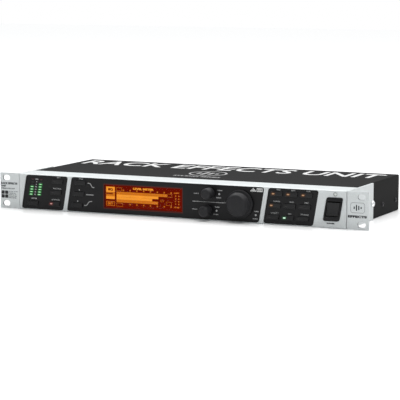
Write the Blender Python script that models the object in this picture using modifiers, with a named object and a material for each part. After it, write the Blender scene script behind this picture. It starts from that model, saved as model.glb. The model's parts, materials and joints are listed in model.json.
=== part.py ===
"""A rack effects unit, one rack unit high, as separate parts.

Metres, +Z up, +X to the right seen from the front, +Y to the back. The origin is the middle of the case's
underside. The sizes below are in millimetres, and y is counted back from the front of the panel: metres()
turns such a place into the scene's.
"""
import math

import bmesh
import bpy
from mathutils import Matrix, Vector

MM = 0.001

# The 19-inch rack standard
PANEL_WIDTH = 482.6
PANEL_HEIGHT = 44.0
SLOT_SPACING_X = 465.1
SLOT_SPACING_Z = 31.8
SLOT_LENGTH = 10.0
SLOT_WIDTH = 7.0

# The case
CASE_DEPTH = 188.5
CASE_HALF = 213.6
FASCIA_HALF = 213.85
MID_Z = 22.0
GAP = 0.3
STEEL = 1.2
COVER_STEEL = 1.0
EAR_PLATE = 2.0
EAR_INNER_X = 214.15
EAR_FLANGE_DEPTH = 87.0
STRIP_DEPTH = 36.8
LIP_DEPTH = 12.0
BEND = 1.5
COVER_TOP = 43.8
TRAY_HALF = 212.2
TRAY_WALL = 30.0

# The screw on each ear's flange: where it is, and its head
EAR_SCREW = (83.0, 20.0)
EAR_SCREW_RADIUS = 3.7
EAR_SCREW_HEIGHT = 2.8
EAR_SCREW_EDGE = 1.2
EAR_SCREW_CROSS = (3.4, 0.8)

# The slanted windows: each is its left and right edge at mid height
SLANT = 0.165
WINDOW_Z = (1.1, 43.0)
WINDOW_RADIUS = 3.0
METER_WINDOW = (-207.9, -149.7)
DISPLAY_WINDOW = (-144.7, 109.3)
KEYPAD_WINDOW = (114.5, 176.9)
BEZEL_FACE = 0.4
BEZEL_BACK = 3.2
BEZEL_FLANGE = 1.8

# The keys: rows from the top down, and the columns at mid height
KEY_ROWS = (36.35, 22.6, 8.8)
KEY_SIZE = (15.0, 5.5)
KEY_RADIUS = 0.8
KEY_FACE = -0.9
KEY_CHAMFER = 0.3
KEY_FLANGE = (16.8, 7.3)
KEY_FLANGE_BACK = 4.3
KEY_STEM = 3.0
KEY_STEM_BACK = 8.2
LEVEL_COLUMN = -163.3
PAGE_COLUMN = -132.0
KEYPAD_COLUMNS = (125.5, 144.1, 162.7)
METER_KEY = (-195.6, 8.0)

# The level meter
METER_COLUMNS = (-197.8, -186.5)
METER_TOP = 37.95
METER_PITCH = 3.16
METER_ROWS = 7
LED_SIZE = (4.2, 1.5)
LED_FACE = 0.6

# The display
LCD_X = (-96.9, 6.9)
LCD_Z = (7.8, 35.9)
LENS_FACE = 0.9
LENS_BACK = 3.0
LCD_BACK = 9.6
LCD_MARGIN = 2.4

# The encoders: axis x and z, and the plan of each
SMALL_KNOBS = (("upper", 43.3, 33.0), ("lower", 40.4, 12.0))
WHEEL_AXIS = (82.0, 22.0)
KNOB_BACK = -0.6
SHAFT_RADIUS = 3.0
SHAFT_FRONT = -9.8
SHAFT_BACK = 10.4
BORE_RADIUS = 3.3
BORE_DEPTH = 9.6
ENCODER_SIZE = 11.6
ENCODER_Y = (4.2, 11.7)
ENCODER_BORE_BACK = 11.2

# The power switch
SWITCH_X = (187.3, 208.3)
SWITCH_Z = (8.2, 35.8)
SWITCH_RADIUS = 2.6
SWITCH_FACE = -1.2
SWITCH_INSET = 1.6
SWITCH_BACK = 15.0
ROCKER_X = (190.2, 205.3)
ROCKER_PIVOT = (2.5, 22.4)
ROCKER_HALF = 7.9
ROCKER_TILT = math.radians(6.0)
ROCKER_ROOM = 1.0
LED_LAMP = (200.4, 39.5)
LED_LAMP_RADIUS = 1.7
LED_HOLE_RADIUS = 2.2

# The boards
BOARD = 1.6
CONTROL_Y = 12.0
CONTROL_X = (-207.0, 180.0)
CONTROL_Z = (3.5, 40.5)
TACT_SIZE = 6.0
TACT_FRONT = 9.1
BOARD_Z = 7.0
POST_RADIUS = 3.0
POST_FOOT = 1.3

# The back
BACK_Y = (CASE_DEPTH - STEEL, CASE_DEPTH)
SOCKET_Z = 21.8
XLR_RADIUS = 11.7
XLR_PROUD = 0.7
XLR_BODY = (24.6, 17.0, 25.2)
XLR_PIN_CIRCLE = 4.6
XLR_PINS = (math.radians(90), math.radians(210), math.radians(330))
XLR_SOCKETS = {
    "input_socket_left": (-172.0, "female"),
    "input_socket_right": (-144.0, "female"),
    "output_plug_left": (-112.0, "male"),
    "output_plug_right": (-84.0, "male"),
    "mic_socket": (-20.0, "female"),
    "digital_input_socket": (8.0, "female"),
    "digital_output_plug": (36.0, "male"),
}
XLR_CUP_RADIUS = 9.4
XLR_GROOVE = (9.6, 7.8)
XLR_HOLE_RADIUS = 1.4
XLR_PIN_RADIUS = 1.2
JACKS_X = (-58.0, -42.0)
JACK_RADIUS = 5.0
JACK_BORE = 3.2
OPTICAL_X = (56.0, 68.0)
OPTICAL_SIZE = (9.4, 8.4)
OPTICAL_NOSE = ((50.4, 73.6), (15.4, 28.2))
CLOCK_X = 86.0
CLOCK_RADIUS = 4.8
CLOCK_BODY = (14.0, 14.0)
MIDI_X = (108.0, 128.0, 148.0)
MIDI_RADIUS = 8.6
MIDI_GROOVE = (7.0, 5.9)
MIDI_PIN_CIRCLE = 3.9
INLET_X = 184.0
INLET_SIZE = (30.0, 23.6)
INLET_BODY = (28.0, 20.8)
INLET_CUP = (25.0, 17.0)
INLET_BLADE = (2.0, 4.0)
INLET_BLADES = ((0.0, 3.4), (-7.0, -1.6), (7.0, -1.6))

# Segments: of a rounded corner, of a key's small corner, and of round pieces from the largest down
CORNER_STEPS = 3
KEY_STEPS = 2
KNOB_ROUND = 32
ROUND = 20
SMALL_ROUND = 16
PIN_ROUND = 8

# Colour, roughness and metallic value of each finish
FINISHES = {
    "silver": ((0.56, 0.59, 0.59), 0.38, 0.6),
    "black_paint": ((0.03, 0.03, 0.03), 0.5, 0.0),
    "bezel": ((0.015, 0.016, 0.018), 0.25, 0.0),
    "keycap": ((0.03, 0.03, 0.032), 0.45, 0.0),
    "knob": ((0.03, 0.03, 0.032), 0.35, 0.0),
    "steel": ((0.62, 0.62, 0.62), 0.3, 1.0),
    "lens": ((0.5, 0.1, 0.03), 0.1, 0.0),
    "display": ((0.5, 0.06, 0.01), 0.4, 0.0),
    "meter": ((0.1, 0.5, 0.1), 0.3, 0.0),
    "lamp": ((0.8, 0.8, 0.78), 0.2, 0.0),
    "board": ((0.02, 0.12, 0.05), 0.5, 0.0),
    "winding": ((0.35, 0.27, 0.08), 0.6, 0.0),
    "connector": ((0.02, 0.02, 0.02), 0.4, 0.0),
    "nickel": ((0.66, 0.63, 0.58), 0.3, 1.0),
}


def clear_scene():
    for old in list(bpy.data.objects):
        bpy.data.objects.remove(old, do_unlink=True)


def new_collection(name):
    made = bpy.data.collections.new(name)
    bpy.context.scene.collection.children.link(made)
    return made


clear_scene()
UNIT = new_collection("rack_effects_unit")
CUTTERS = new_collection("cutters")


def metres(x, y, z):
    """A place in the case's millimetres as the scene's metres."""
    return Vector((x, y - CASE_DEPTH / 2, z)) * MM


def finish_material(name, finish):
    colour, roughness, metallic = FINISHES[finish]
    material = bpy.data.materials.new(f"{name}_{finish}")
    material.use_nodes = True
    shader = material.node_tree.nodes["Principled BSDF"]
    shader.inputs["Base Color"].default_value = (*colour, 1.0)
    shader.inputs["Roughness"].default_value = roughness
    shader.inputs["Metallic"].default_value = metallic
    return material


def place(name, bm, origin, collection):
    """Make an object of a bmesh in case millimetres, with its origin at the given place."""
    start = metres(*origin)
    for vert in bm.verts:
        vert.co = metres(*vert.co) - start
    mesh = bpy.data.meshes.new(name)
    bm.to_mesh(mesh)
    bm.free()
    obj = bpy.data.objects.new(name, mesh)
    obj.location = start
    collection.objects.link(obj)
    return obj


def solid(name, bm, finish, origin=(0.0, CASE_DEPTH / 2, 0.0)):
    """A closed part, its faces turned outwards."""
    bmesh.ops.recalc_face_normals(bm, faces=bm.faces)
    obj = place(name, bm, origin, UNIT)
    obj.data.materials.append(finish_material(name, finish))
    return obj


def boolean(obj, bm, operation):
    bmesh.ops.recalc_face_normals(bm, faces=bm.faces)
    name = f"{obj.name}_{operation.lower()}_{len(obj.modifiers)}"
    tool = place(name, bm, (0.0, CASE_DEPTH / 2, 0.0), CUTTERS)
    tool.hide_render = True
    tool.display_type = "WIRE"
    step = obj.modifiers.new(name, "BOOLEAN")
    step.operation = operation
    step.solver = "EXACT"
    step.object = tool


def cut(obj, bm):
    boolean(obj, bm, "DIFFERENCE")


def fuse(obj, bm):
    boolean(obj, bm, "UNION")


def new_verts(bm, known):
    return [vert for vert in bm.verts if vert not in known]


def lean(verts):
    """Lean upright edges to the right with height, as all the windows and keys do."""
    for vert in verts:
        vert.co.x += SLANT * (vert.co.z - MID_Z)


def lean_x(x, z):
    """Where an upright line through x at mid height is at height z."""
    return x + SLANT * (z - MID_Z)


def add_block(bm, x, y, z, radius=0.0, slanted=False, steps=CORNER_STEPS):
    """A box from low to high x, y and z, its edges along y rounded."""
    known = set(bm.verts)
    size = Vector((x[1] - x[0], y[1] - y[0], z[1] - z[0]))
    middle = Vector((sum(x), sum(y), sum(z))) / 2
    bmesh.ops.create_cube(bm, size=1.0, matrix=Matrix.Translation(middle) @ Matrix.Diagonal(size).to_4x4())
    if radius:
        edges = {edge for vert in new_verts(bm, known) for edge in vert.link_edges}
        along = [edge for edge in edges if abs(edge.verts[0].co.y - edge.verts[1].co.y) > size.y / 2]
        bmesh.ops.bevel(bm, geom=along, offset=radius, offset_type="OFFSET", segments=steps,
                        affect="EDGES", profile=0.5, material=-1)
    if slanted:
        lean(new_verts(bm, known))


def add_centred(bm, centre, size, y, radius=0.0, slanted=False, steps=CORNER_STEPS):
    """A block centred on x and z. A slanted one is centred where it stands, not at mid height."""
    x, z = centre
    if slanted:
        x -= SLANT * (z - MID_Z)
    add_block(bm, (x - size[0] / 2, x + size[0] / 2), y, (z - size[1] / 2, z + size[1] / 2),
              radius, slanted, steps)


def add_rod(bm, centre, radius, y, segments=ROUND):
    """A round bar along y."""
    turn = Matrix.Rotation(math.pi / 2, 4, "X")
    middle = Matrix.Translation((centre[0], (y[0] + y[1]) / 2, centre[1]))
    bmesh.ops.create_cone(bm, cap_ends=True, segments=segments, radius1=radius, radius2=radius,
                          depth=y[1] - y[0], matrix=middle @ turn)


def add_post(bm, x, y, z):
    """A round bar along z."""
    bmesh.ops.create_cone(bm, cap_ends=True, segments=12, radius1=POST_RADIUS, radius2=POST_RADIUS,
                          depth=z[1] - z[0], matrix=Matrix.Translation((x, y, (z[0] + z[1]) / 2)))


def add_ring(bm, centre, outer, inner, y, segments=ROUND):
    """A square-cut ring about an axis along y."""
    known = set(bm.verts)
    corners = ((inner, y[0]), (outer, y[0]), (outer, y[1]), (inner, y[1]))
    verts = [bm.verts.new((centre[0] + radius, depth, centre[1])) for radius, depth in corners]
    edges = [bm.edges.new((verts[i - 1], verts[i])) for i in range(len(verts))]
    bmesh.ops.spin(bm, geom=verts + edges, cent=(centre[0], 0, centre[1]), axis=(0, 1, 0), angle=math.tau,
                   steps=segments, use_merge=True)
    bmesh.ops.remove_doubles(bm, verts=new_verts(bm, known), dist=0.001)


def add_stepped(bm, sections, front, radius, slanted, steps=CORNER_STEPS):
    """Rounded rectangles one behind the other. Each section is its x range, z range and back."""
    known = set(bm.verts)
    x, z, back = sections[0]
    add_block(bm, x, (front, back), z, radius, steps=steps)
    for x, z, next_back in sections[1:]:
        rear = max(bm.faces, key=lambda face: face.calc_center_median().y)
        rear = extrude_back(bm, rear, 0.0)
        resize(rear, x, z)
        extrude_back(bm, rear, next_back - back)
        back = next_back
    if slanted:
        lean(new_verts(bm, known))


def extrude_back(bm, face, distance):
    grown = bmesh.ops.extrude_face_region(bm, geom=[face])["geom"]
    bmesh.ops.delete(bm, geom=[face], context="FACES_ONLY")
    verts = [item for item in grown if isinstance(item, bmesh.types.BMVert)]
    bmesh.ops.translate(bm, verts=verts, vec=(0.0, distance, 0.0))
    return next(item for item in grown if isinstance(item, bmesh.types.BMFace))


def resize(face, x, z):
    """Stretch a face that lies across y to new x and z ranges."""
    for axis, (low, high) in ((0, x), (2, z)):
        values = [vert.co[axis] for vert in face.verts]
        start = min(values)
        stretch = (high - low) / (max(values) - start)
        for vert in face.verts:
            vert.co[axis] = low + (vert.co[axis] - start) * stretch


def bent_sheet(name, finish, path, run, thickness):
    """Sheet metal: an open path of corners drawn out along run and thickened on its inner side."""
    bm = bmesh.new()
    verts = [bm.verts.new(corner) for corner in path]
    edges = [bm.edges.new(pair) for pair in zip(verts, verts[1:])]
    grown = bmesh.ops.extrude_edge_only(bm, edges=edges)["geom"]
    far = [item for item in grown if isinstance(item, bmesh.types.BMVert)]
    bmesh.ops.translate(bm, verts=far, vec=run)
    obj = place(name, bm, (0.0, CASE_DEPTH / 2, 0.0), UNIT)
    obj.data.materials.append(finish_material(name, finish))
    bends = obj.modifiers.new("bends", "BEVEL")
    bends.limit_method = "ANGLE"
    bends.width = BEND * MM
    bends.segments = CORNER_STEPS
    wall = obj.modifiers.new("wall", "SOLIDIFY")
    wall.thickness = thickness * MM
    wall.offset = -1.0
    wall.use_even_offset = True
    return obj


def turned(name, finish, centre, base_y, profile, steps):
    """A turned part whose axis runs to the front. The profile is (radius, distance from base_y)."""
    bm = bmesh.new()
    verts = [bm.verts.new((radius * MM, 0.0, height * MM)) for radius, height in profile]
    for pair in zip(verts, verts[1:]):
        bm.edges.new(pair)
    mesh = bpy.data.meshes.new(name)
    bm.to_mesh(mesh)
    bm.free()
    obj = bpy.data.objects.new(name, mesh)
    obj.location = metres(centre[0], base_y, centre[1])
    obj.rotation_euler = (math.pi / 2, 0.0, 0.0)
    UNIT.objects.link(obj)
    obj.data.materials.append(finish_material(name, finish))
    lathe = obj.modifiers.new("turn", "SCREW")
    lathe.steps = steps
    lathe.render_steps = steps
    lathe.use_merge_vertices = True
    lathe.merge_threshold = 0.00001
    return obj


def arc(centre, radius, start, end, steps):
    """Points on an arc, with both its ends. Angles are in degrees from the first axis."""
    angles = [math.radians(start + (end - start) * i / steps) for i in range(steps + 1)]
    return [(centre[0] + radius * math.cos(a), centre[1] + radius * math.sin(a)) for a in angles]


def inset(span, amount):
    return (span[0] + amount, span[1] - amount)


def build_case():
    fascia = bent_sheet(
        "front_fascia", "silver",
        [(-FASCIA_HALF, LIP_DEPTH, 0), (-FASCIA_HALF, 0, 0), (-FASCIA_HALF, 0, PANEL_HEIGHT),
         (-FASCIA_HALF, STRIP_DEPTH, PANEL_HEIGHT)],
        (2 * FASCIA_HALF, 0, 0), STEEL)
    windows = bmesh.new()
    for window in (METER_WINDOW, DISPLAY_WINDOW, KEYPAD_WINDOW):
        add_block(windows, window, (-2, STEEL + 2), WINDOW_Z, WINDOW_RADIUS, True)
    room = SWITCH_INSET - GAP
    add_block(windows, inset(SWITCH_X, room), (-2, STEEL + 2), inset(SWITCH_Z, room), SWITCH_RADIUS / 2, True)
    add_rod(windows, LED_LAMP, LED_HOLE_RADIUS, (-2, STEEL + 2), SMALL_ROUND)
    cut(fascia, windows)

    for side, sign in (("left", -1), ("right", 1)):
        build_ear(side, sign)

    front = STRIP_DEPTH + GAP
    bent_sheet(
        "top_cover", "black_paint",
        [(CASE_HALF, front, 0.5), (CASE_HALF, front, COVER_TOP),
         (-CASE_HALF, front, COVER_TOP), (-CASE_HALF, front, 0.5)],
        (0, CASE_DEPTH - front, 0), COVER_STEEL)
    tray_front = LIP_DEPTH + GAP
    bent_sheet(
        "bottom_tray", "black_paint",
        [(-TRAY_HALF, tray_front, TRAY_WALL), (-TRAY_HALF, tray_front, 0),
         (TRAY_HALF, tray_front, 0), (TRAY_HALF, tray_front, TRAY_WALL)],
        (0, BACK_Y[0] - GAP - tray_front, 0), COVER_STEEL)


def build_ear(side, sign):
    """An L of plate: the slotted front, and the flange that runs back along the case."""
    outer = PANEL_WIDTH / 2
    path = [(sign * outer, 0, 0), (sign * EAR_INNER_X, 0, 0), (sign * EAR_INNER_X, EAR_FLANGE_DEPTH, 0)]
    if sign < 0:
        path.reverse()
    ear = bent_sheet(f"{side}_rack_ear", "silver", path, (0, 0, PANEL_HEIGHT), EAR_PLATE)
    slots = bmesh.new()
    for level in (-1, 1):
        centre = (sign * SLOT_SPACING_X / 2, MID_Z + level * SLOT_SPACING_Z / 2)
        add_centred(slots, centre, (SLOT_LENGTH, SLOT_WIDTH), (-2, EAR_PLATE + 2), SLOT_WIDTH / 2 - 0.01,
                    steps=6)
    cut(ear, slots)
    build_ear_screw(side, sign)


def build_ear_screw(side, sign):
    """A pan-head screw on the flange's outer face, with a cross recess."""
    seat = EAR_INNER_X + EAR_PLATE + GAP
    half_way = seat + EAR_SCREW_HEIGHT / 2
    bm = bmesh.new()
    turn = Matrix.Rotation(math.pi / 2, 4, "Y")
    middle = Matrix.Translation((sign * half_way, *EAR_SCREW))
    bmesh.ops.create_cone(bm, cap_ends=True, segments=SMALL_ROUND, radius1=EAR_SCREW_RADIUS,
                          radius2=EAR_SCREW_RADIUS, depth=EAR_SCREW_HEIGHT, matrix=middle @ turn)
    rim = [edge for edge in bm.edges if all(abs(vert.co.x) > half_way for vert in edge.verts)]
    bmesh.ops.bevel(bm, geom=rim, offset=EAR_SCREW_EDGE, offset_type="OFFSET", segments=2, affect="EDGES",
                    profile=0.5, material=-1)
    screw = solid(f"{side}_ear_screw", bm, "steel")
    face = Matrix.Translation((sign * (seat + EAR_SCREW_HEIGHT), *EAR_SCREW))
    for size in (EAR_SCREW_CROSS, EAR_SCREW_CROSS[::-1]):
        recess = bmesh.new()
        bmesh.ops.create_cube(recess, size=1.0, matrix=face @ Matrix.Diagonal((EAR_SCREW_HEIGHT, *size, 1.0)))
        cut(screw, recess)


def build_bezel(name, window):
    """A plate that fills a window, flush with the sheet, with a flange behind it at each side."""
    land_x = inset(window, GAP)
    land_z = inset(WINDOW_Z, GAP)
    flange_x = inset(window, -BEZEL_FLANGE)
    flange_z = (STEEL + GAP, PANEL_HEIGHT - STEEL - GAP)
    bm = bmesh.new()
    add_stepped(bm, [(land_x, land_z, STEEL + GAP), (flange_x, flange_z, BEZEL_BACK)], BEZEL_FACE,
                WINDOW_RADIUS - GAP, True)
    return solid(name, bm, "bezel")


THROUGH_BEZEL = (BEZEL_FACE - 1, BEZEL_BACK + 1)


def key_places():
    """Every key's name, and its centre on the panel."""
    places = {"meter_key": METER_KEY}
    for row, z in zip(("top", "middle", "bottom"), KEY_ROWS):
        places[f"level_key_{row}"] = (lean_x(LEVEL_COLUMN, z), z)
        places[f"page_key_{row}"] = (lean_x(PAGE_COLUMN, z), z)
        for column, x in zip(("left", "middle", "right"), KEYPAD_COLUMNS):
            places[f"keypad_{row}_{column}"] = (lean_x(x, z), z)
    return places


KEYS = key_places()


def key_holes(window):
    holes = bmesh.new()
    for centre in KEYS.values():
        if window[0] < centre[0] < window[1]:
            add_centred(holes, centre, (KEY_SIZE[0] + 2 * GAP, KEY_SIZE[1] + 2 * GAP), THROUGH_BEZEL,
                        KEY_RADIUS + GAP, True, KEY_STEPS)
    return holes


def meter_places():
    return [(column, METER_TOP - METER_PITCH * row) for column in METER_COLUMNS for row in range(METER_ROWS)]


def build_bezels():
    meter = key_holes(METER_WINDOW)
    for column, z in meter_places():
        add_centred(meter, (lean_x(column, z), z), (LED_SIZE[0] + 2 * GAP, LED_SIZE[1] + 2 * GAP),
                    THROUGH_BEZEL, slanted=True)
    cut(build_bezel("meter_bezel", METER_WINDOW), meter)

    display = key_holes(DISPLAY_WINDOW)
    add_block(display, LCD_X, THROUGH_BEZEL, LCD_Z, 0.6)
    for _, x, z in SMALL_KNOBS:
        add_rod(display, (x, z), SHAFT_RADIUS + 1, THROUGH_BEZEL)
    add_rod(display, WHEEL_AXIS, SHAFT_RADIUS + 1, THROUGH_BEZEL)
    cut(build_bezel("display_bezel", DISPLAY_WINDOW), display)

    cut(build_bezel("keypad_bezel", KEYPAD_WINDOW), key_holes(KEYPAD_WINDOW))


def build_key(name, centre):
    """Cap with a chamfered face, the flange that keeps it behind the bezel, and the stem to its switch."""
    x, z = centre
    x -= SLANT * (z - MID_Z)

    def span(middle, size):
        return (middle - size / 2, middle + size / 2)

    face = [span(x, KEY_SIZE[0] - 2 * KEY_CHAMFER), span(z, KEY_SIZE[1] - 2 * KEY_CHAMFER)]
    cap = [span(x, KEY_SIZE[0]), span(z, KEY_SIZE[1])]
    flange = [span(x, KEY_FLANGE[0]), span(z, KEY_FLANGE[1])]
    stem = [span(x, KEY_STEM), span(z, KEY_STEM)]
    bm = bmesh.new()
    add_stepped(bm, [(*cap, BEZEL_BACK + GAP), (*flange, KEY_FLANGE_BACK), (*stem, KEY_STEM_BACK)],
                KEY_FACE + KEY_CHAMFER, KEY_RADIUS, False, KEY_STEPS)
    front = min(bm.faces, key=lambda item: item.calc_center_median().y)
    resize(extrude_back(bm, front, -KEY_CHAMFER), *face)
    lean(bm.verts)
    return solid(name, bm, "keycap", (centre[0], BEZEL_FACE, centre[1]))


def build_meter_bars():
    """Two light bars, each a strip with a raised lens for every row."""
    for side, column in zip(("left", "right"), METER_COLUMNS):
        low = METER_TOP - METER_PITCH * (METER_ROWS - 1) - 2
        bm = bmesh.new()
        add_block(bm, (column - 3.2, column + 3.2), (BEZEL_BACK + GAP, 5.6), (low, METER_TOP + 2),
                  slanted=True)
        bar = solid(f"{side}_meter_bar", bm, "meter")
        lenses = bmesh.new()
        for row in range(METER_ROWS):
            z = METER_TOP - METER_PITCH * row
            add_centred(lenses, (lean_x(column, z), z), LED_SIZE, (LED_FACE, BEZEL_BACK + 1), slanted=True)
        fuse(bar, lenses)


def build_display():
    lens = bmesh.new()
    add_block(lens, inset(LCD_X, GAP), (LENS_FACE, LENS_BACK), inset(LCD_Z, GAP), 0.4)
    solid("lcd_lens", lens, "lens")
    module = bmesh.new()
    add_block(module, inset(LCD_X, -LCD_MARGIN), (BEZEL_BACK + GAP, LCD_BACK), inset(LCD_Z, -LCD_MARGIN), 0.8)
    solid("lcd_module", module, "display")


def small_knob_profile():
    """A plain cap whose front edge is well rounded."""
    edge = arc((4.3, 11.4), 2.0, 80, 0, 3)
    return [(0, 13.6), *edge, (6.6, 0.6), (6.2, 0.0), (BORE_RADIUS, 0.0), (BORE_RADIUS, BORE_DEPTH),
            (0, BORE_DEPTH)]


def wheel_profile():
    """A flat face, a grip that widens towards the panel, a waist, and a skirt."""
    edge = arc((11.2, 11.2), 1.2, 80, 25, 2)
    grip = [(14.2, 7.3), (14.3, 6.4), (13.2, 3.9), (13.5, 2.6)]
    skirt = [(16.4, 1.4), (16.8, 0.9), (16.8, 0.3), (16.5, 0.0)]
    return [(0, 13.0), *edge, *grip, *skirt, (BORE_RADIUS, 0.0), (BORE_RADIUS, BORE_DEPTH), (0, BORE_DEPTH)]


def build_encoder(name, centre):
    """Push encoder: its body on the board, and the shaft that its knob turns about."""
    half = ENCODER_SIZE / 2
    bm = bmesh.new()
    add_block(bm, (centre[0] - half, centre[0] + half), ENCODER_Y, (centre[1] - half, centre[1] + half), 0.8)
    body = solid(f"{name}_encoder", bm, "nickel")
    bore = bmesh.new()
    add_rod(bore, centre, BORE_RADIUS, (ENCODER_Y[0] - 1, ENCODER_BORE_BACK))
    cut(body, bore)
    shaft = bmesh.new()
    add_rod(shaft, centre, SHAFT_RADIUS, (SHAFT_FRONT, SHAFT_BACK))
    solid(f"{name}_shaft", shaft, "steel", (centre[0], 0.0, centre[1]))


def build_knobs():
    for name, x, z in SMALL_KNOBS:
        build_encoder(name, (x, z))
        turned(f"{name}_knob", "knob", (x, z), KNOB_BACK, small_knob_profile(), ROUND)
    build_encoder("wheel", WHEEL_AXIS)
    turned("jog_wheel", "knob", WHEEL_AXIS, KNOB_BACK, wheel_profile(), KNOB_ROUND)


def build_power_switch():
    """A framed rocker: the frame's flange is proud of the panel, and its cup holds the rocker."""
    bm = bmesh.new()
    body_x = inset(SWITCH_X, SWITCH_INSET)
    body_z = inset(SWITCH_Z, SWITCH_INSET)
    add_stepped(bm, [(SWITCH_X, SWITCH_Z, -GAP), (body_x, body_z, SWITCH_BACK)], SWITCH_FACE, SWITCH_RADIUS,
                True)
    frame = solid("power_switch_frame", bm, "bezel")
    well = bmesh.new()
    add_block(well, inset(ROCKER_X, -0.5), (SWITCH_FACE - 1, SWITCH_BACK - 1),
              (ROCKER_PIVOT[1] - ROCKER_HALF - ROCKER_ROOM, ROCKER_PIVOT[1] + ROCKER_HALF + ROCKER_ROOM), 0.5,
              True)
    cut(frame, well)
    build_rocker()

    lamp = bmesh.new()
    add_rod(lamp, LED_LAMP, LED_LAMP_RADIUS, (-0.2, 6.0), SMALL_ROUND)
    rim = [edge for edge in lamp.edges if all(vert.co.y < 0 for vert in edge.verts)]
    bmesh.ops.bevel(lamp, geom=rim, offset=0.5, offset_type="OFFSET", segments=2, affect="EDGES",
                    profile=0.5, material=-1)
    solid("power_lamp", lamp, "lamp")


def build_rocker():
    """A rocker with a shallow hollow face, tilted with its lower half pressed in."""
    pivot_y, pivot_z = ROCKER_PIVOT
    half = ROCKER_HALF
    outline = [(-3.8, half), (-3.2, half / 2), (-3.0, 0.0), (-3.2, -half / 2), (-3.8, -half),
               (0.0, -half + 0.4), (4.0, -4.2), (4.6, 0.0), (4.0, 4.2), (0.0, half - 0.4)]
    bm = bmesh.new()
    verts = [bm.verts.new((ROCKER_X[0], y, z)) for y, z in outline]
    grown = bmesh.ops.extrude_face_region(bm, geom=[bm.faces.new(verts)])["geom"]
    far = [item for item in grown if isinstance(item, bmesh.types.BMVert)]
    bmesh.ops.translate(bm, verts=far, vec=(ROCKER_X[1] - ROCKER_X[0], 0.0, 0.0))
    bmesh.ops.rotate(bm, verts=bm.verts, matrix=Matrix.Rotation(ROCKER_TILT, 3, "X"))
    bmesh.ops.translate(bm, verts=bm.verts, vec=(0.0, pivot_y, pivot_z))
    lean(bm.verts)
    solid("power_rocker", bm, "keycap", ((ROCKER_X[0] + ROCKER_X[1]) / 2, pivot_y, pivot_z))


def build_control_board():
    """The upright board behind the bezels, with a switch behind every key."""
    bm = bmesh.new()
    add_block(bm, CONTROL_X, (CONTROL_Y, CONTROL_Y + BOARD), CONTROL_Z)
    board = solid("control_board", bm, "board")
    switches = bmesh.new()
    for centre in KEYS.values():
        add_centred(switches, centre, (TACT_SIZE, TACT_SIZE), (TACT_FRONT, CONTROL_Y + 0.3))
    fuse(board, switches)


def build_flat_board(name, x, y, chips):
    """A board lying on posts over the tray."""
    bm = bmesh.new()
    add_block(bm, x, y, (BOARD_Z, BOARD_Z + BOARD))
    board = solid(name, bm, "board")
    extras = bmesh.new()
    for post_x in inset(x, 8):
        for post_y in inset(y, 8):
            add_post(extras, post_x, post_y, (POST_FOOT, BOARD_Z + 0.5))
    for chip_x, chip_y, size, height in chips:
        add_block(extras, (chip_x - size / 2, chip_x + size / 2), (chip_y - size / 2, chip_y + size / 2),
                  (BOARD_Z + BOARD - 0.3, BOARD_Z + BOARD + height))
    fuse(board, extras)


def build_boards():
    build_control_board()
    build_flat_board("main_board", (-200, 146), (40, 184),
                     ((-120, 90, 24, 2.0), (-40, 90, 28, 2.4), (40, 90, 20, 2.0), (100, 110, 14, 1.6)))
    build_flat_board("power_supply_board", (150, 206), (34, 164),
                     ((164, 52, 12, 20.0), (190, 52, 12, 20.0), (192, 140, 14, 14.0)))
    bm = bmesh.new()
    z = BOARD_Z + BOARD + GAP
    add_block(bm, (160, 196), (76, 84), (z, z + 26), 1.0)
    transformer = solid("power_transformer", bm, "winding")
    coil = bmesh.new()
    add_block(coil, (166, 190), (70, 90), (z + 3, z + 23), 3.0)
    fuse(transformer, coil)


def build_xlr(name, x, kind):
    """A round three-pole connector: sockets in an island, or pins in a cup."""
    centre = (x, SOCKET_Z)
    front = BACK_Y[0] - GAP
    width, depth, height = XLR_BODY
    face = CASE_DEPTH + XLR_PROUD
    bm = bmesh.new()
    add_centred(bm, centre, (width, height), (front - depth, front))
    body = solid(name, bm, "connector")
    barrel = bmesh.new()
    add_rod(barrel, centre, XLR_RADIUS, (front - 1, face))
    fuse(body, barrel)
    hollow = bmesh.new()
    if kind == "female":
        add_ring(hollow, centre, *XLR_GROOVE, (face - 9, face + 1))
    else:
        add_rod(hollow, centre, XLR_CUP_RADIUS, (face - 13, face + 1))
    cut(body, hollow)
    poles = bmesh.new()
    for angle in XLR_PINS:
        place_xz = (x + XLR_PIN_CIRCLE * math.cos(angle), SOCKET_Z - XLR_PIN_CIRCLE * math.sin(angle))
        if kind == "female":
            add_rod(poles, place_xz, XLR_HOLE_RADIUS, (face - 10, face + 1), PIN_ROUND)
        else:
            add_rod(poles, place_xz, XLR_PIN_RADIUS, (face - 14, face - 2.5), PIN_ROUND)
    if kind == "female":
        cut(body, poles)
    else:
        fuse(body, poles)


def build_jacks():
    """Two quarter-inch jacks in one housing, each with its nut outside the panel."""
    front = BACK_Y[0] - GAP
    bm = bmesh.new()
    add_block(bm, (JACKS_X[0] - 8, JACKS_X[1] + 8), (front - 26, front), (11, 31))
    jacks = solid("jack_block", bm, "connector")
    barrels = bmesh.new()
    bores = bmesh.new()
    for x in JACKS_X:
        add_rod(barrels, (x, SOCKET_Z), JACK_RADIUS, (front - 1, CASE_DEPTH + 3.0), SMALL_ROUND)
        add_rod(bores, (x, SOCKET_Z), JACK_BORE, (front - 22, CASE_DEPTH + 4), SMALL_ROUND)
    fuse(jacks, barrels)
    cut(jacks, bores)


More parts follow.
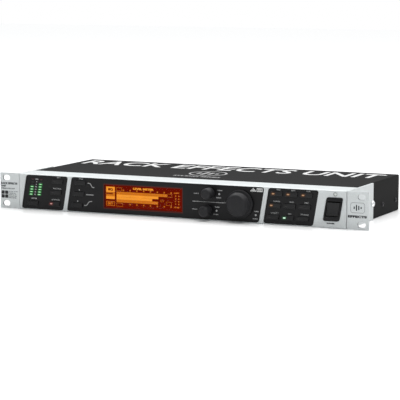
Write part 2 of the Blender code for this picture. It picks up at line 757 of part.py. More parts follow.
def build_optical():
    """Two square optical sockets in one housing."""
    front = BACK_Y[0] - GAP
    low, high = OPTICAL_X
    bm = bmesh.new()
    add_stepped(bm, [((low - 6, high + 6), (14, 30), front),
                     (*OPTICAL_NOSE, CASE_DEPTH + 0.6)], front - 14, 0.8, False)
    block = solid("optical_block", bm, "connector")
    wells = bmesh.new()
    for x in OPTICAL_X:
        add_centred(wells, (x, SOCKET_Z), OPTICAL_SIZE, (front - 9, CASE_DEPTH + 2), 1.0)
    cut(block, wells)


def build_clock():
    """A bayonet coaxial socket: barrel with two lugs, round its insulated centre contact."""
    centre = (CLOCK_X, SOCKET_Z)
    front = BACK_Y[0] - GAP
    bm = bmesh.new()
    add_centred(bm, centre, CLOCK_BODY, (front - 12, front))
    socket = solid("clock_socket", bm, "nickel")
    barrel = bmesh.new()
    add_rod(barrel, centre, CLOCK_RADIUS, (front - 1, CASE_DEPTH + 9.0), SMALL_ROUND)
    fuse(socket, barrel)
    lugs = bmesh.new()
    add_block(lugs, (CLOCK_X - 5.6, CLOCK_X + 5.6), (CASE_DEPTH + 5.6, CASE_DEPTH + 7.4),
              (SOCKET_Z - 0.9, SOCKET_Z + 0.9))
    fuse(socket, lugs)
    well = bmesh.new()
    add_ring(well, centre, 4.1, 2.5, (CASE_DEPTH + 2, CASE_DEPTH + 10), SMALL_ROUND)
    cut(socket, well)


def build_midi():
    """Three five-pole round sockets in one housing."""
    front = BACK_Y[0] - GAP
    bm = bmesh.new()
    add_block(bm, (MIDI_X[0] - 10, MIDI_X[-1] + 10), (front - 14, front), (11.4, 32))
    block = solid("midi_block", bm, "connector")
    barrels = bmesh.new()
    grooves = bmesh.new()
    poles = bmesh.new()
    for x in MIDI_X:
        add_rod(barrels, (x, SOCKET_Z), MIDI_RADIUS, (front - 1, CASE_DEPTH + 0.5))
        add_ring(grooves, (x, SOCKET_Z), *MIDI_GROOVE, (CASE_DEPTH - 8, CASE_DEPTH + 2), SMALL_ROUND)
        for step in range(5):
            angle = math.radians(45 * step)
            pole = (x + MIDI_PIN_CIRCLE * math.cos(angle), SOCKET_Z + MIDI_PIN_CIRCLE * math.sin(angle))
            add_rod(poles, pole, 0.8, (CASE_DEPTH - 8, CASE_DEPTH + 2), 6)
    fuse(block, barrels)
    cut(block, grooves)
    cut(block, poles)


def build_inlet():
    """The mains inlet: a flanged cup with three flat blades."""
    centre = (INLET_X, SOCKET_Z)
    front = BACK_Y[0] - GAP
    face = CASE_DEPTH + 2.3

    def spans(size):
        return [(middle - side / 2, middle + side / 2) for middle, side in zip(centre, size)]

    bm = bmesh.new()
    add_stepped(bm, [(*spans(INLET_BODY), CASE_DEPTH + GAP), (*spans(INLET_SIZE), face)], front - 18, 1.6,
                False)
    inlet = solid("mains_inlet", bm, "connector")
    cup = bmesh.new()
    add_centred(cup, centre, INLET_CUP, (face - 16, face + 1), 2.5)
    cut(inlet, cup)
    blades = bmesh.new()
    for x, z in INLET_BLADES:
        add_centred(blades, (INLET_X + x, SOCKET_Z + z), INLET_BLADE, (face - 17, face - 3))
    fuse(inlet, blades)


def build_back():
    bm = bmesh.new()
    add_block(bm, (-TRAY_HALF, TRAY_HALF), BACK_Y, (0.2, COVER_TOP - COVER_STEEL - GAP))
    panel = solid("rear_panel", bm, "black_paint")
    holes = bmesh.new()
    through = (BACK_Y[0] - 1, BACK_Y[1] + 1)
    for x, _ in XLR_SOCKETS.values():
        add_rod(holes, (x, SOCKET_Z), XLR_RADIUS + GAP, through)
    for x in JACKS_X:
        add_rod(holes, (x, SOCKET_Z), JACK_RADIUS + GAP, through, SMALL_ROUND)
    for x in MIDI_X:
        add_rod(holes, (x, SOCKET_Z), MIDI_RADIUS + GAP, through)
    add_rod(holes, (CLOCK_X, SOCKET_Z), CLOCK_RADIUS + GAP, through, SMALL_ROUND)
    nose_x, nose_z = OPTICAL_NOSE
    add_block(holes, inset(nose_x, -GAP), through, inset(nose_z, -GAP), 1.0)
    add_centred(holes, (INLET_X, SOCKET_Z), [side + 2 * GAP for side in INLET_BODY], through, 1.8)
    cut(panel, holes)

    for name, (x, kind) in XLR_SOCKETS.items():
        build_xlr(name, x, kind)
    build_jacks()
    build_optical()
    build_clock()
    build_midi()
    build_inlet()


def smooth_round_parts():
    """Shade curved sides smooth and keep real edges sharp."""
    for obj in UNIT.objects:
        obj.data.shade_smooth()
        obj.data.set_sharp_from_angle(angle=math.radians(35))


build_case()
build_bezels()
for key_name, key_centre in KEYS.items():
    build_key(key_name, key_centre)
build_meter_bars()
build_display()
build_knobs()
build_power_switch()
build_boards()
build_back()
smooth_round_parts()
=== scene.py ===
"""Looks of the rack effects unit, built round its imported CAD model.

Shapes are drawn in millimetres in a local plane: u to the viewer's right, v up, and w outward from the
surface. They are then put on the front, the rear, the top or a side of the case. The case's own measure
is x from its middle, depth back from the front sheet's face, and z up from its underside.
"""
import json
import math

import bmesh
import bpy
from mathutils import Matrix, Vector


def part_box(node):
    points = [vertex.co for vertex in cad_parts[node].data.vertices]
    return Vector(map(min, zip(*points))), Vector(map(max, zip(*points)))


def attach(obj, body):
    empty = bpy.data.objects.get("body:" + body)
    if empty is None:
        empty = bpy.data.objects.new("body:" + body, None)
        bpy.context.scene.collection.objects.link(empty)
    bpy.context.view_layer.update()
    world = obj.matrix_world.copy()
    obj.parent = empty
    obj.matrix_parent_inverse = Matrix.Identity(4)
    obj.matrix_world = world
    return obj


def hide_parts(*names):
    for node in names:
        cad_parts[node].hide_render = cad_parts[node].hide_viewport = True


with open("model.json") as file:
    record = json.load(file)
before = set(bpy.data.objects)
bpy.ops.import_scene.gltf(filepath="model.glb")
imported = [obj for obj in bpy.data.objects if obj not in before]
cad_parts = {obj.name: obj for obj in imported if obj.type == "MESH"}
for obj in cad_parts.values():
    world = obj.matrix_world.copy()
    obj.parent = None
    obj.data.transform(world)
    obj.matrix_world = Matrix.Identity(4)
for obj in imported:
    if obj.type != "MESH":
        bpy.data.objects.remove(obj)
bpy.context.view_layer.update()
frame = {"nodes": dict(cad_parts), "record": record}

MM = 0.001
FACE_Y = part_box("front_fascia")[0].y
BODIES = frame["record"]["behaviour"]["bodies"]

# The slanted windows lean by this much x for each z
SLANT = 0.165

# What the controls measure
KEY_CAP = (15.0, 5.5)
KEY_FACE = 0.9
KEY_RADIUS = 0.8
KEY_FLANGE = (16.8, 7.3)
KEY_LAMP = (3.0, 1.4)
KEY_LAMP_AT = (-3.9, 0.0)
BEZEL_FACE = -0.4
METER_ROWS = 7
METER_LENS = (4.2, 1.5)
METER_LENS_FACE = -0.45
METER_END = 2.0
SLOT = (10.0, 7.0)
SLOT_X = 232.55
SLOT_LEVELS = (6.1, 37.9)
SOCKET_Z = 21.8
KNOB_BACK = 0.6
CROWN = 46.0
ROCKER_HALF = 7.9
ROCKER_TILT = math.radians(6.0)
ROCKER_PIVOT_Z = 22.4
ROCKER_PIVOT_OUT = -2.5
WINDOW_GAP = 0.3
BEZEL_FLANGE = 1.8
PANEL_FACE = 0.0
PANEL_MID_Z = 22.0
SEAM_HEIGHT = 43.4
RING_STEPS = 96
ROUND_STEPS = 48
PIN_STEPS = 20

# Printing: how thick the ink film is drawn, and the height of the small words
INK = 0.04
WORD_HEIGHT = 1.7

SIDES = {
    "front": ((1, 0, 0), (0, 0, 1), (0, -1, 0)),
    "rear": ((-1, 0, 0), (0, 0, 1), (0, 1, 0)),
    "left": ((0, -1, 0), (0, 0, 1), (-1, 0, 0)),
    "right": ((0, 1, 0), (0, 0, 1), (1, 0, 0)),
    "top": ((1, 0, 0), (0, 1, 0), (0, 0, 1)),
}
LEAN = Matrix(((1, SLANT, 0, 0), (0, 1, 0, 0), (0, 0, 1, 0), (0, 0, 0, 1)))


def measured(node):
    """A CAD node's lowest and highest corner as (x, depth, z) in millimetres."""
    return tuple((corner - Vector((0.0, FACE_Y, 0.0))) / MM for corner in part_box(node))


def middle(node):
    low, high = measured(node)
    return (low + high) / 2


# ---------------------------------------------------------------- camera, light and floor

CAMERA_TARGET = Vector((-0.01497, 0.00575, 0.01004))
CAMERA_AZIMUTH = math.radians(24.47)
CAMERA_ELEVATION = math.radians(7.21)
CAMERA_ROLL = math.radians(0.07)
CAMERA_DISTANCE = 2.332
CAMERA_LENS = 169.3


def make_camera():
    data = bpy.data.cameras.new("view")
    data.sensor_width = 36.0
    data.lens = CAMERA_LENS
    camera = bpy.data.objects.new("view", data)
    bpy.context.scene.collection.objects.link(camera)
    level = math.cos(CAMERA_ELEVATION)
    back = Vector((math.sin(CAMERA_AZIMUTH) * level, -math.cos(CAMERA_AZIMUTH) * level,
                   math.sin(CAMERA_ELEVATION)))
    camera.location = CAMERA_TARGET + back * CAMERA_DISTANCE
    aim = (-back).to_track_quat("-Z", "Y").to_matrix()
    camera.rotation_euler = (aim @ Matrix.Rotation(CAMERA_ROLL, 3, "Z")).to_euler()
    bpy.context.scene.camera = camera


def add(tree, kind, inputs=None, **settings):
    """One shader node. An input is a number, a colour or another node's output, which is linked."""
    made = tree.nodes.new("ShaderNode" + kind)
    for name, value in settings.items():
        setattr(made, name, value)
    for name, value in (inputs or {}).items():
        if isinstance(value, bpy.types.NodeSocket):
            tree.links.new(value, made.inputs[name])
        else:
            made.inputs[name].default_value = value
    return made


def linear(code):
    """An sRGB hex colour as linear red, green, blue and a full alpha."""
    values = [int(code[i:i + 2], 16) / 255 for i in (1, 3, 5)]
    return (*[v / 12.92 if v <= 0.04045 else ((v + 0.055) / 1.055) ** 2.4 for v in values], 1.0)


def light_the_room():
    """Even white studio light: a white surround for the view, dimmer for what the object reflects."""
    world = bpy.data.worlds.new("studio")
    bpy.context.scene.world = world
    world.use_nodes = True
    tree = world.node_tree
    tree.nodes.clear()
    path = add(tree, "LightPath")
    soft = add(tree, "Background", {"Color": linear("#F7F9FA"), "Strength": 0.4})
    white = add(tree, "Background", {"Color": linear("#FFFFFF"), "Strength": 1.0})
    both = add(tree, "MixShader", {0: path.outputs["Is Camera Ray"], 1: soft.outputs[0], 2: white.outputs[0]})
    add(tree, "OutputWorld", {"Surface": both.outputs[0]})
    bpy.context.scene.view_settings.view_transform = "Standard"
    add_softbox("overhead", (0.0, 0.7, 2.0), (0.0, 0.2, 0.0), (4.0, 3.0), 128.0)
    add_softbox("front_fill", (-1.1, -1.9, 0.8), (0.0, 0.0, 0.0), (1.2, 0.9), 3.5)
    add_softbox("wheel_glint", (0.61, -0.62, 1.08), (0.082, -0.1, 0.022), (0.3, 0.3), 5.0)


def add_softbox(name, place, target, size, power):
    data = bpy.data.lights.new(name, "AREA")
    data.shape = "RECTANGLE"
    data.size, data.size_y = size
    data.energy = power
    lamp = bpy.data.objects.new(name, data)
    lamp.location = place
    lamp.rotation_euler = (Vector(target) - Vector(place)).to_track_quat("-Z", "Y").to_euler()
    bpy.context.scene.collection.objects.link(lamp)


def lay_floor():
    """A wide pale sheet under the unit, with a faint sheen."""
    bm = bmesh.new()
    bmesh.ops.create_grid(bm, x_segments=8, y_segments=8, size=6.0)
    mesh = bpy.data.meshes.new("floor")
    bm.to_mesh(mesh)
    bm.free()
    mesh.materials.append(seamless_paper())
    floor = bpy.data.objects.new("floor", mesh)
    bpy.context.scene.collection.objects.link(floor)


# ---------------------------------------------------------------- finishes

def per_metre(size):
    """How often a pattern of features this many millimetres wide repeats in a metre."""
    return 1.0 / (size * MM)


def new_finish(name, inputs, pale, dark, grain, relief=0.0, polish=None, stretch=(1.0, 1.0, 1.0)):
    """A two-tone surface. Noise with features `grain` millimetres wide mixes the tones, shifts the
    roughness between the two values of `polish`, and stands `relief` millimetres high."""
    material = bpy.data.materials.new(name)
    material.use_nodes = True
    tree = material.node_tree
    tree.nodes.clear()
    place = add(tree, "TexCoord")
    spread = add(tree, "Mapping", {"Vector": place.outputs["Object"], "Scale": stretch})
    noise = add(tree, "TexNoise", {"Vector": spread.outputs[0], "Scale": per_metre(grain), "Detail": 3.0,
                                   "Roughness": 0.6})
    share = add(tree, "MapRange", {"Value": noise.outputs[0], "From Min": 0.35, "From Max": 0.65})
    tone = add(tree, "Mix", {0: share.outputs[0], 6: linear(dark), 7: linear(pale)}, data_type="RGBA")
    shader = add(tree, "BsdfPrincipled", inputs)
    tree.links.new(tone.outputs[2], shader.inputs["Base Color"])
    if polish:
        rough = add(tree, "MapRange", {"Value": noise.outputs[0], "From Min": 0.3, "From Max": 0.7,
                                       "To Min": polish[0], "To Max": polish[1]})
        tree.links.new(rough.outputs[0], shader.inputs["Roughness"])
    if relief:
        bump = add(tree, "Bump", {"Height": noise.outputs[0], "Distance": relief * MM, "Strength": 1.0})
        tree.links.new(bump.outputs[0], shader.inputs["Normal"])
    add(tree, "OutputMaterial", {"Surface": shader.outputs[0]})
    return material


def satin_silver_lacquer():
    """Silver lacquer sprayed on steel: fine metal flake gives a soft grey sparkle with no mirror in it.
    The flake is drawn at 0.5 mm, far coarser than the real one, so that it shows."""
    return new_finish("satin_silver_lacquer", {"Metallic": 0.35, "Specular IOR Level": 0.5},
                      "#C1C5C5", "#B2B6B7", 0.5, 0.006, (0.36, 0.5))


def powder_coated_steel():
    """Black polyester powder coat baked on steel sheet: matt, with a fine orange peel. The peel is
    drawn at 0.9 mm so that it shows."""
    return new_finish("powder_coated_steel", {"Specular IOR Level": 0.02}, "#242424", "#1C1C1C", 0.9, 0.02,
                      (0.55, 0.72))


def printed_polycarbonate():
    """Black polycarbonate overlay printed on its back: deep black under a satin face."""
    return new_finish("printed_polycarbonate", {"Specular IOR Level": 0.16}, "#151516", "#111112", 1.6, 0.003,
                      (0.3, 0.4))


def moulded_abs_key():
    """ABS key caps from a spark-eroded mould: a fine matt grain, a shade paler than the overlay."""
    return new_finish("moulded_abs_key", {"Specular IOR Level": 0.24}, "#19191A", "#131314", 0.35, 0.012,
                      (0.45, 0.6))


def satin_abs_knob():
    """ABS knobs from a fine-blasted mould: satin, so that their upper halves take a soft light."""
    return new_finish("satin_abs_knob", {"Specular IOR Level": 0.12}, "#28282A", "#222223", 0.6, 0.004,
                      (0.44, 0.52))


def zinc_plated_steel():
    """Bright zinc on steel screws: a clean white metal with slightly uneven plating. Its milky
    passivated skin is why it isn't all metal."""
    return new_finish("zinc_plated_steel", {"Metallic": 0.5}, "#F4F5F6", "#DDE0E2", 0.8, 0.004, (0.18, 0.34))


def ground_steel():
    """Ground steel shafts: rings of fine lines left by the wheel, drawn out along the depth."""
    return new_finish("ground_steel", {"Metallic": 1.0}, "#C9CBCC", "#9FA3A6", 0.4, 0.004, (0.22, 0.38),
                      (1.0, 6.0, 1.0))


def sheared_edge_and_painted_shade():
    """Dull grey steel on the walls inside the rack slots. It is partly the bare punched edge, scored across
    the sheet by the punch, and partly painted shade for the shadow inside the slots.
    """
    return new_finish("sheared_edge_and_painted_shade", {"Metallic": 0.5, "Specular IOR Level": 0.2}, "#6A6D6E", "#56595A", 0.4,
                      0.01, (0.5, 0.65), (1.0, 0.2, 1.0))


def moulded_grey_ring():
    """The lamp's holder: grey moulded plastic with a satin face."""
    return new_finish("moulded_grey_ring", {"Specular IOR Level": 0.3}, "#8C9290", "#7E8482", 0.5, 0.004,
                      (0.35, 0.45))


def black_oxide_steel():
    """Blackened steel case screws: dark, with a thin oily shine."""
    return new_finish("black_oxide_steel", {"Metallic": 0.8}, "#3A3A3C", "#242426", 0.7, 0.004, (0.3, 0.45))


def nickel_plate():
    """Nickel on brass contacts and barrels: a warm grey metal."""
    return new_finish("nickel_plate", {"Metallic": 1.0}, "#D8D2C6", "#B3AC9F", 0.9, 0.004, (0.2, 0.34))


def gold_flash():
    """A thin gold flash on contacts: yellow metal, a little uneven."""
    return new_finish("gold_flash", {"Metallic": 1.0}, "#E6C46C", "#C79F45", 0.7, 0.003, (0.2, 0.32))


def glass_filled_nylon():
    """Glass-filled nylon connector bodies: black, dull, with pale fibre ends just showing."""
    return new_finish("glass_filled_nylon", {"Specular IOR Level": 0.35}, "#29292A", "#1B1B1C", 0.5, 0.012,
                      (0.45, 0.62))


def solder_mask_board():
    """Glass-epoxy board under green solder mask: tracks show as paler bands beneath the varnish."""
    return new_finish("solder_mask_board", {"Specular IOR Level": 0.5, "Coat Weight": 0.3},
                      "#2E7D4A", "#14532B", 3.0, 0.02, (0.3, 0.45), (1.0, 4.0, 1.0))


def transformer_tape():
    """Yellow polyester tape wound over copper, between stacked iron sheets."""
    return new_finish("transformer_tape", {"Specular IOR Level": 0.4}, "#C9A94A", "#8F7430", 1.2, 0.05,
                      (0.4, 0.6), (1.0, 1.0, 5.0))


def screen_ink(name, pale, dark):
    """Screen-printed ink: an even matt film with a slight mottle from the mesh."""
    return new_finish(name, {"Specular IOR Level": 0.2}, pale, dark, 0.4, 0.0, (0.55, 0.7))


def smoked_lens(name, pale, dark):
    """An unlit lamp window of tinted polycarbonate: dark and glossy."""
    return new_finish(name, {"Specular IOR Level": 0.3}, pale, dark, 0.8, 0.0, (0.15, 0.25))


def lit_lens(name, glow, tint, strength):
    """A lamp window with its light on: coloured plastic that glows from inside."""
    return new_finish(name, {"Emission Color": linear(glow), "Emission Strength": strength,
                             "Specular IOR Level": 0.2}, tint, tint, 0.8, 0.0, (0.3, 0.4))


def milky_lamp():
    """A diffused lamp dome, not lit: milky plastic that looks pale grey."""
    return new_finish("milky_lamp", {"Specular IOR Level": 0.4}, "#D3D7D4", "#C5CAC6", 0.6, 0.0, (0.2, 0.3))


def coated_acrylic():
    """The display's clear window: acrylic with an anti-glare coat, which is why its index is set low."""
    return new_finish("coated_acrylic", {"Transmission Weight": 1.0, "IOR": 1.07}, "#FFFFFF", "#FAFAFA", 2.0,
                      0.0, (0.02, 0.05))


def display_glow(name, bright, gap):
    """A backlit dot-matrix panel: square dots on a 0.36 mm pitch, parted by thin darker lines. The
    backlight is a little uneven over 18 mm, which dims the dots by up to a tenth."""
    material = bpy.data.materials.new(name)
    material.use_nodes = True
    tree = material.node_tree
    tree.nodes.clear()
    place = add(tree, "TexCoord")
    upright = add(tree, "Mapping", {"Vector": place.outputs["Object"], "Rotation": (math.pi / 2, 0.0, 0.0)})
    dots = add(tree, "TexBrick", {"Vector": upright.outputs[0], "Color1": linear(bright),
                                  "Color2": linear(bright), "Mortar": linear(gap),
                                  "Scale": per_metre(0.36), "Mortar Size": 0.06, "Mortar Smooth": 0.3,
                                  "Brick Width": 1.0, "Row Height": 1.0}, offset=0.0)
    cloud = add(tree, "TexNoise", {"Vector": place.outputs["Object"], "Scale": per_metre(18.0)})
    share = add(tree, "MapRange", {"Value": cloud.outputs[0], "From Min": 0.3, "From Max": 0.7,
                                   "To Min": 0.0, "To Max": 0.1})
    uneven = add(tree, "Mix", {0: share.outputs[0], 6: dots.outputs[0], 7: linear("#000000")},
                 data_type="RGBA")
    shader = add(tree, "BsdfPrincipled", {"Base Color": linear("#000000"), "Roughness": 0.5,
                                          "Emission Color": uneven.outputs[2], "Emission Strength": 1.0,
                                          "Specular IOR Level": 0.0})
    add(tree, "OutputMaterial", {"Surface": shader.outputs[0]})
    return material


def seamless_paper():
    """White background sheet with a soft sheen, which shows the unit's front faintly below it. It glows
    a little away from the unit, where the lamp overhead no longer reaches it."""
    paper = new_finish("seamless_paper", {"Specular IOR Level": 0.34}, "#FAFAFA", "#F8F8F8", 3.0, 0.0,
                       (0.16, 0.2))
    tree = paper.node_tree
    shader = tree.nodes["Principled BSDF"]
    place = add(tree, "TexCoord")
    away = add(tree, "VectorMath", {0: place.outputs["Object"]}, operation="LENGTH")
    glow = add(tree, "MapRange", {"Value": away.outputs["Value"], "From Min": 0.5, "From Max": 2.5,
                                  "To Min": 0.0, "To Max": 0.6})
    grey = add(tree, "Mix", {0: glow.outputs[0], 6: linear("#000000"), 7: linear("#FFFFFF")},
               data_type="RGBA")
    shader.inputs["Emission Strength"].default_value = 1.0
    tree.links.new(grey.outputs[2], shader.inputs["Emission Color"])
    return paper


# ---------------------------------------------------------------- shapes, in millimetres

def round_edges(bm, edges, radius, steps):
    bmesh.ops.bevel(bm, geom=edges, offset=radius, offset_type="OFFSET", segments=steps, affect="EDGES",
                    profile=0.5, material=-1)


def plate(width, height, back, face, radius=0.0, rim=0.0, at=(0.0, 0.0), steps=6):
    """A slab between two levels, with round corners and a rounded edge round its face."""
    bm = bmesh.new()
    bmesh.ops.create_cube(bm, size=1.0)
    bmesh.ops.scale(bm, vec=(width, height, face - back), verts=bm.verts)
    bmesh.ops.translate(bm, vec=(at[0], at[1], (face + back) / 2), verts=bm.verts)
    if radius:
        upright = [edge for edge in bm.edges if abs(edge.verts[0].co.z - edge.verts[1].co.z) > 0.001]
        round_edges(bm, upright, radius, steps)
    if rim:
        front = [edge for edge in bm.edges if all(vert.co.z > face - 0.001 for vert in edge.verts)]
        round_edges(bm, front, rim, 3)
    return bm


def turned(profile, steps=ROUND_STEPS, closed=False, at=(0.0, 0.0)):
    """A shape turned about the outward axis. The profile is (radius, level)."""
    bm = bmesh.new()
    verts = [bm.verts.new((radius, 0.0, level)) for radius, level in profile]
    edges = [bm.edges.new(pair) for pair in zip(verts, verts[1:])]
    if closed:
        edges.append(bm.edges.new((verts[-1], verts[0])))
    bmesh.ops.spin(bm, geom=verts + edges, cent=(0, 0, 0), axis=(0, 0, 1), angle=math.tau, steps=steps,
                   use_merge=True)
    bmesh.ops.remove_doubles(bm, verts=bm.verts, dist=0.0001)
    bmesh.ops.recalc_face_normals(bm, faces=bm.faces)
    bmesh.ops.translate(bm, vec=(at[0], at[1], 0.0), verts=bm.verts)
    return bm


def arc(centre, radius, start, end, steps=6):
    """Points on an arc from one angle to the other, in degrees."""
    angles = [math.radians(start + (end - start) * i / steps) for i in range(steps + 1)]
    return [(centre[0] + radius * math.cos(a), centre[1] + radius * math.sin(a)) for a in angles]


def drum(radius, back, face, rim, steps=ROUND_STEPS, at=(0.0, 0.0)):
    """A round slab with a rounded front edge."""
    edge = arc((radius - rim, face - rim), rim, 90, 0, 4)
    return turned([(0, face), *edge, (radius, back), (0, back)], steps, at=at)


def tube(outer, inner, back, face, rim=0.2, steps=ROUND_STEPS, at=(0.0, 0.0)):
    """A round wall with its front corners rounded."""
    return turned([(outer, back), *arc((outer - rim, face - rim), rim, 0, 90, 3),
                   *arc((inner + rim, face - rim), rim, 90, 180, 3), (inner, back)], steps, True, at)


def joined(shapes):
    """Several shapes as one."""
    whole = bmesh.new()
    for shape in shapes:
        mesh = bpy.data.meshes.new("shape")
        shape.to_mesh(mesh)
        shape.free()
        whole.from_mesh(mesh)
        bpy.data.meshes.remove(mesh)
    return whole


def temporary(bm):
    mesh = bpy.data.meshes.new("temporary")
    bm.to_mesh(mesh)
    bm.free()
    obj = bpy.data.objects.new("temporary", mesh)
    bpy.context.scene.collection.objects.link(obj)
    return obj


def less(bm, cutters):
    """A shape with each cutter's shape taken out of it."""
    body = temporary(bm)
    tools = [temporary(cutter) for cutter in cutters]
    for tool in tools:
        modifier = body.modifiers.new("cut", "BOOLEAN")
        modifier.operation = "DIFFERENCE"
        modifier.object = tool
    mesh = bpy.data.meshes.new_from_object(body.evaluated_get(bpy.context.evaluated_depsgraph_get()))
    made = bmesh.new()
    made.from_mesh(mesh)
    for obj in (body, *tools):
        bpy.data.meshes.remove(obj.data)
    bpy.data.meshes.remove(mesh)
    return made


def leaned(bm):
    """Slanted like the windows, about the shape's own middle."""
    bmesh.ops.transform(bm, matrix=LEAN, verts=bm.verts)
    return bm


def put(bm, side, place):
    """Stand a local shape on a side of the case, at (x, depth, z)."""
    turn = Matrix(SIDES[side]).transposed().to_4x4()
    bmesh.ops.transform(bm, matrix=Matrix.Translation(place) @ turn, verts=bm.verts)
    return bm


def piece(name, bm, finish, slot, body="chassis", replaces=(), crease=35.0):
    """Make a finished object of a shape that is in the case's measure, and ride it on its body."""
    bmesh.ops.scale(bm, vec=(MM, MM, MM), verts=bm.verts)
    bmesh.ops.translate(bm, vec=(0.0, FACE_Y, 0.0), verts=bm.verts)
    mesh = bpy.data.meshes.new(name)
    bm.to_mesh(mesh)
    bm.free()
    mesh.shade_smooth()
    mesh.set_sharp_from_angle(angle=math.radians(crease))
    mesh.materials.clear()
    mesh.materials.append(finish)
    obj = bpy.data.objects.new(name, mesh)
    bpy.context.scene.collection.objects.link(obj)
    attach(obj, body)
    if replaces:
        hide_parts(*replaces)
    return obj


def words(text, width, height, weight=0.0):
    """Plain lettering as an ink film, scaled to this width and height."""
    curve = bpy.data.curves.new("words", "FONT")
    curve.body = text
    curve.extrude = 0.5
    curve.offset = weight
    curve.resolution_u = 3
    holder = bpy.data.objects.new("words", curve)
    mesh = bpy.data.meshes.new_from_object(holder)
    bm = bmesh.new()
    bm.from_mesh(mesh)
    bpy.data.objects.remove(holder)
    bpy.data.curves.remove(curve)
    bpy.data.meshes.remove(mesh)
    low = Vector(min(vert.co[i] for vert in bm.verts) for i in range(3))
    high = Vector(max(vert.co[i] for vert in bm.verts) for i in range(3))
    size = high - low
    bmesh.ops.translate(bm, vec=-(low + high) / 2, verts=bm.verts)
    bmesh.ops.scale(bm, vec=(width / size.x, height / size.y, INK / size.z), verts=bm.verts)
    return bm


def film(width, height, radius=0.0, at=(0.0, 0.0)):
    """A printed block."""
    return plate(width, height, -INK / 2, INK / 2, radius, at=at)


def outline(width, height, line, radius=0.0, at=(0.0, 0.0)):
    """A printed frame: the wall between two rounded rectangles."""
    inner = plate(width - 2 * line, height - 2 * line, -1.0, 1.0, max(radius - line, 0.0), at=at)
    return less(film(width, height, radius, at), [inner])


# ---------------------------------------------------------------- the CAD nodes that stay

def dress(finish, *nodes):
    """Give CAD nodes a finish."""
    for name in nodes:
        slots = frame["nodes"][name].data.materials
        slots.clear()
        slots.append(finish)


# ---------------------------------------------------------------- front

LIT_KEYS = {"level_key_bottom": "red", "keypad_top_left": "amber", "keypad_top_middle": "amber",
            "keypad_top_right": "amber", "keypad_middle_left": "amber", "keypad_bottom_middle": "green"}


def glow_film(size, spread, radius, level):
    """The light that a lamp window throws on the surface round it."""
    around_it = film(size[0] + 2 * spread, size[1] + 2 * spread, radius)
    halo = less(around_it, [plate(size[0] + 0.1, size[1] + 0.1, -1.0, 1.0, 0.3)])
    bmesh.ops.translate(halo, vec=(0, 0, level), verts=halo.verts)
    return halo


def make_keys(caps, lamps, glows):
    """Every key: a cap, the flange that holds it in, and its stem. The level and keypad keys also get a lamp
    window.
    """
    for body, nodes in BODIES.items():
        if not body.endswith("_cap"):
            continue
        name = nodes[0]
        x, _, z = middle(name)
        place = (x, 0.0, z)
        _, high = measured(name)
        cap = plate(*KEY_CAP, -3.5, KEY_FACE, KEY_RADIUS, 0.3)
        if name.startswith(("level", "keypad")):
            window = plate(KEY_LAMP[0] + 0.1, KEY_LAMP[1] + 0.1, KEY_FACE - 0.7, KEY_FACE + 1.0, 0.25,
                           at=KEY_LAMP_AT)
            cap = less(cap, [window])
            lens = plate(*KEY_LAMP, KEY_FACE - 0.65, KEY_FACE - 0.05, 0.2, 0.12, KEY_LAMP_AT)
            colour = LIT_KEYS.get(name, "dark")
            piece(f"{name}_lamp", put(leaned(lens), "front", place), lamps[colour], "lamp", body)
            if colour in glows:
                halo = glow_film(KEY_LAMP, 1.5, 1.6, KEY_FACE)
                bmesh.ops.translate(halo, vec=(*KEY_LAMP_AT, 0.0), verts=halo.verts)
                piece(f"{name}_glow", put(leaned(halo), "front", place), glows[colour], "lamp", body)
        flange = plate(*KEY_FLANGE, -4.3, -3.5, KEY_RADIUS)
        stem = plate(3.0, 3.0, -high.y, -4.3, 0.4)
        shape = put(leaned(joined([cap, flange, stem])), "front", place)
        piece(f"{name}_cap", shape, caps, "keycap", body, [name])


def meter_rows(node):
    """The place of each row's lens along a meter bar, from the top down."""
    low, high = measured(node)
    x, _, mid_z = (low + high) / 2
    pitch = (high.z - low.z - 2 * METER_END) / (METER_ROWS - 1)
    levels = [high.z - METER_END - pitch * row for row in range(METER_ROWS)]
    return [(x + SLANT * (z - mid_z), 0.0, z) for z in levels]


def make_meters(lamps, holder_finish):
    """Two bars of seven lamp windows over a dark strip. The lowest rows are lit."""
    for side, first_lit in (("left", 3), ("right", 2)):
        node = f"{side}_meter_bar"
        low, high = measured(node)
        rows = {"green": [], "core": [], "halo": [], "dark": [], "dark_red": []}
        for row, place in enumerate(meter_rows(node)):
            lit = row >= first_lit
            kind = "green" if lit else "dark_red" if row == 0 else "dark"
            lens = plate(*METER_LENS, -3.4, METER_LENS_FACE, 0.3, 0.15)
            rows[kind].append(put(leaned(lens), "front", place))
            if lit:
                core = plate(METER_LENS[0] - 1.7, METER_LENS[1] - 0.8, METER_LENS_FACE - 0.1,
                             METER_LENS_FACE + 0.02, 0.3)
                rows["core"].append(put(leaned(core), "front", place))
                halo = glow_film(METER_LENS, 0.78, 0.9, BEZEL_FACE)
                bmesh.ops.scale(halo, vec=(1.18, 1.0, 1.0), verts=halo.verts)
                rows["halo"].append(put(leaned(halo), "front", place))
        strip = plate(5.8, high.z - low.z, -high.y, -3.5, 0.5)
        piece(f"{side}_meter_holder", put(leaned(strip), "front", (middle(node).x, 0.0, middle(node).z)),
              holder_finish, "connector", replaces=[node])
        for kind, shapes in rows.items():
            if shapes:
                piece(f"{side}_meter_{kind}", joined(shapes), lamps[kind], "meter_light")


def word_at(text, x, z, width, height=WORD_HEIGHT, level=BEZEL_FACE, weight=0.0):
    return put(words(text, width, height, weight), "front", (x, -level, z))


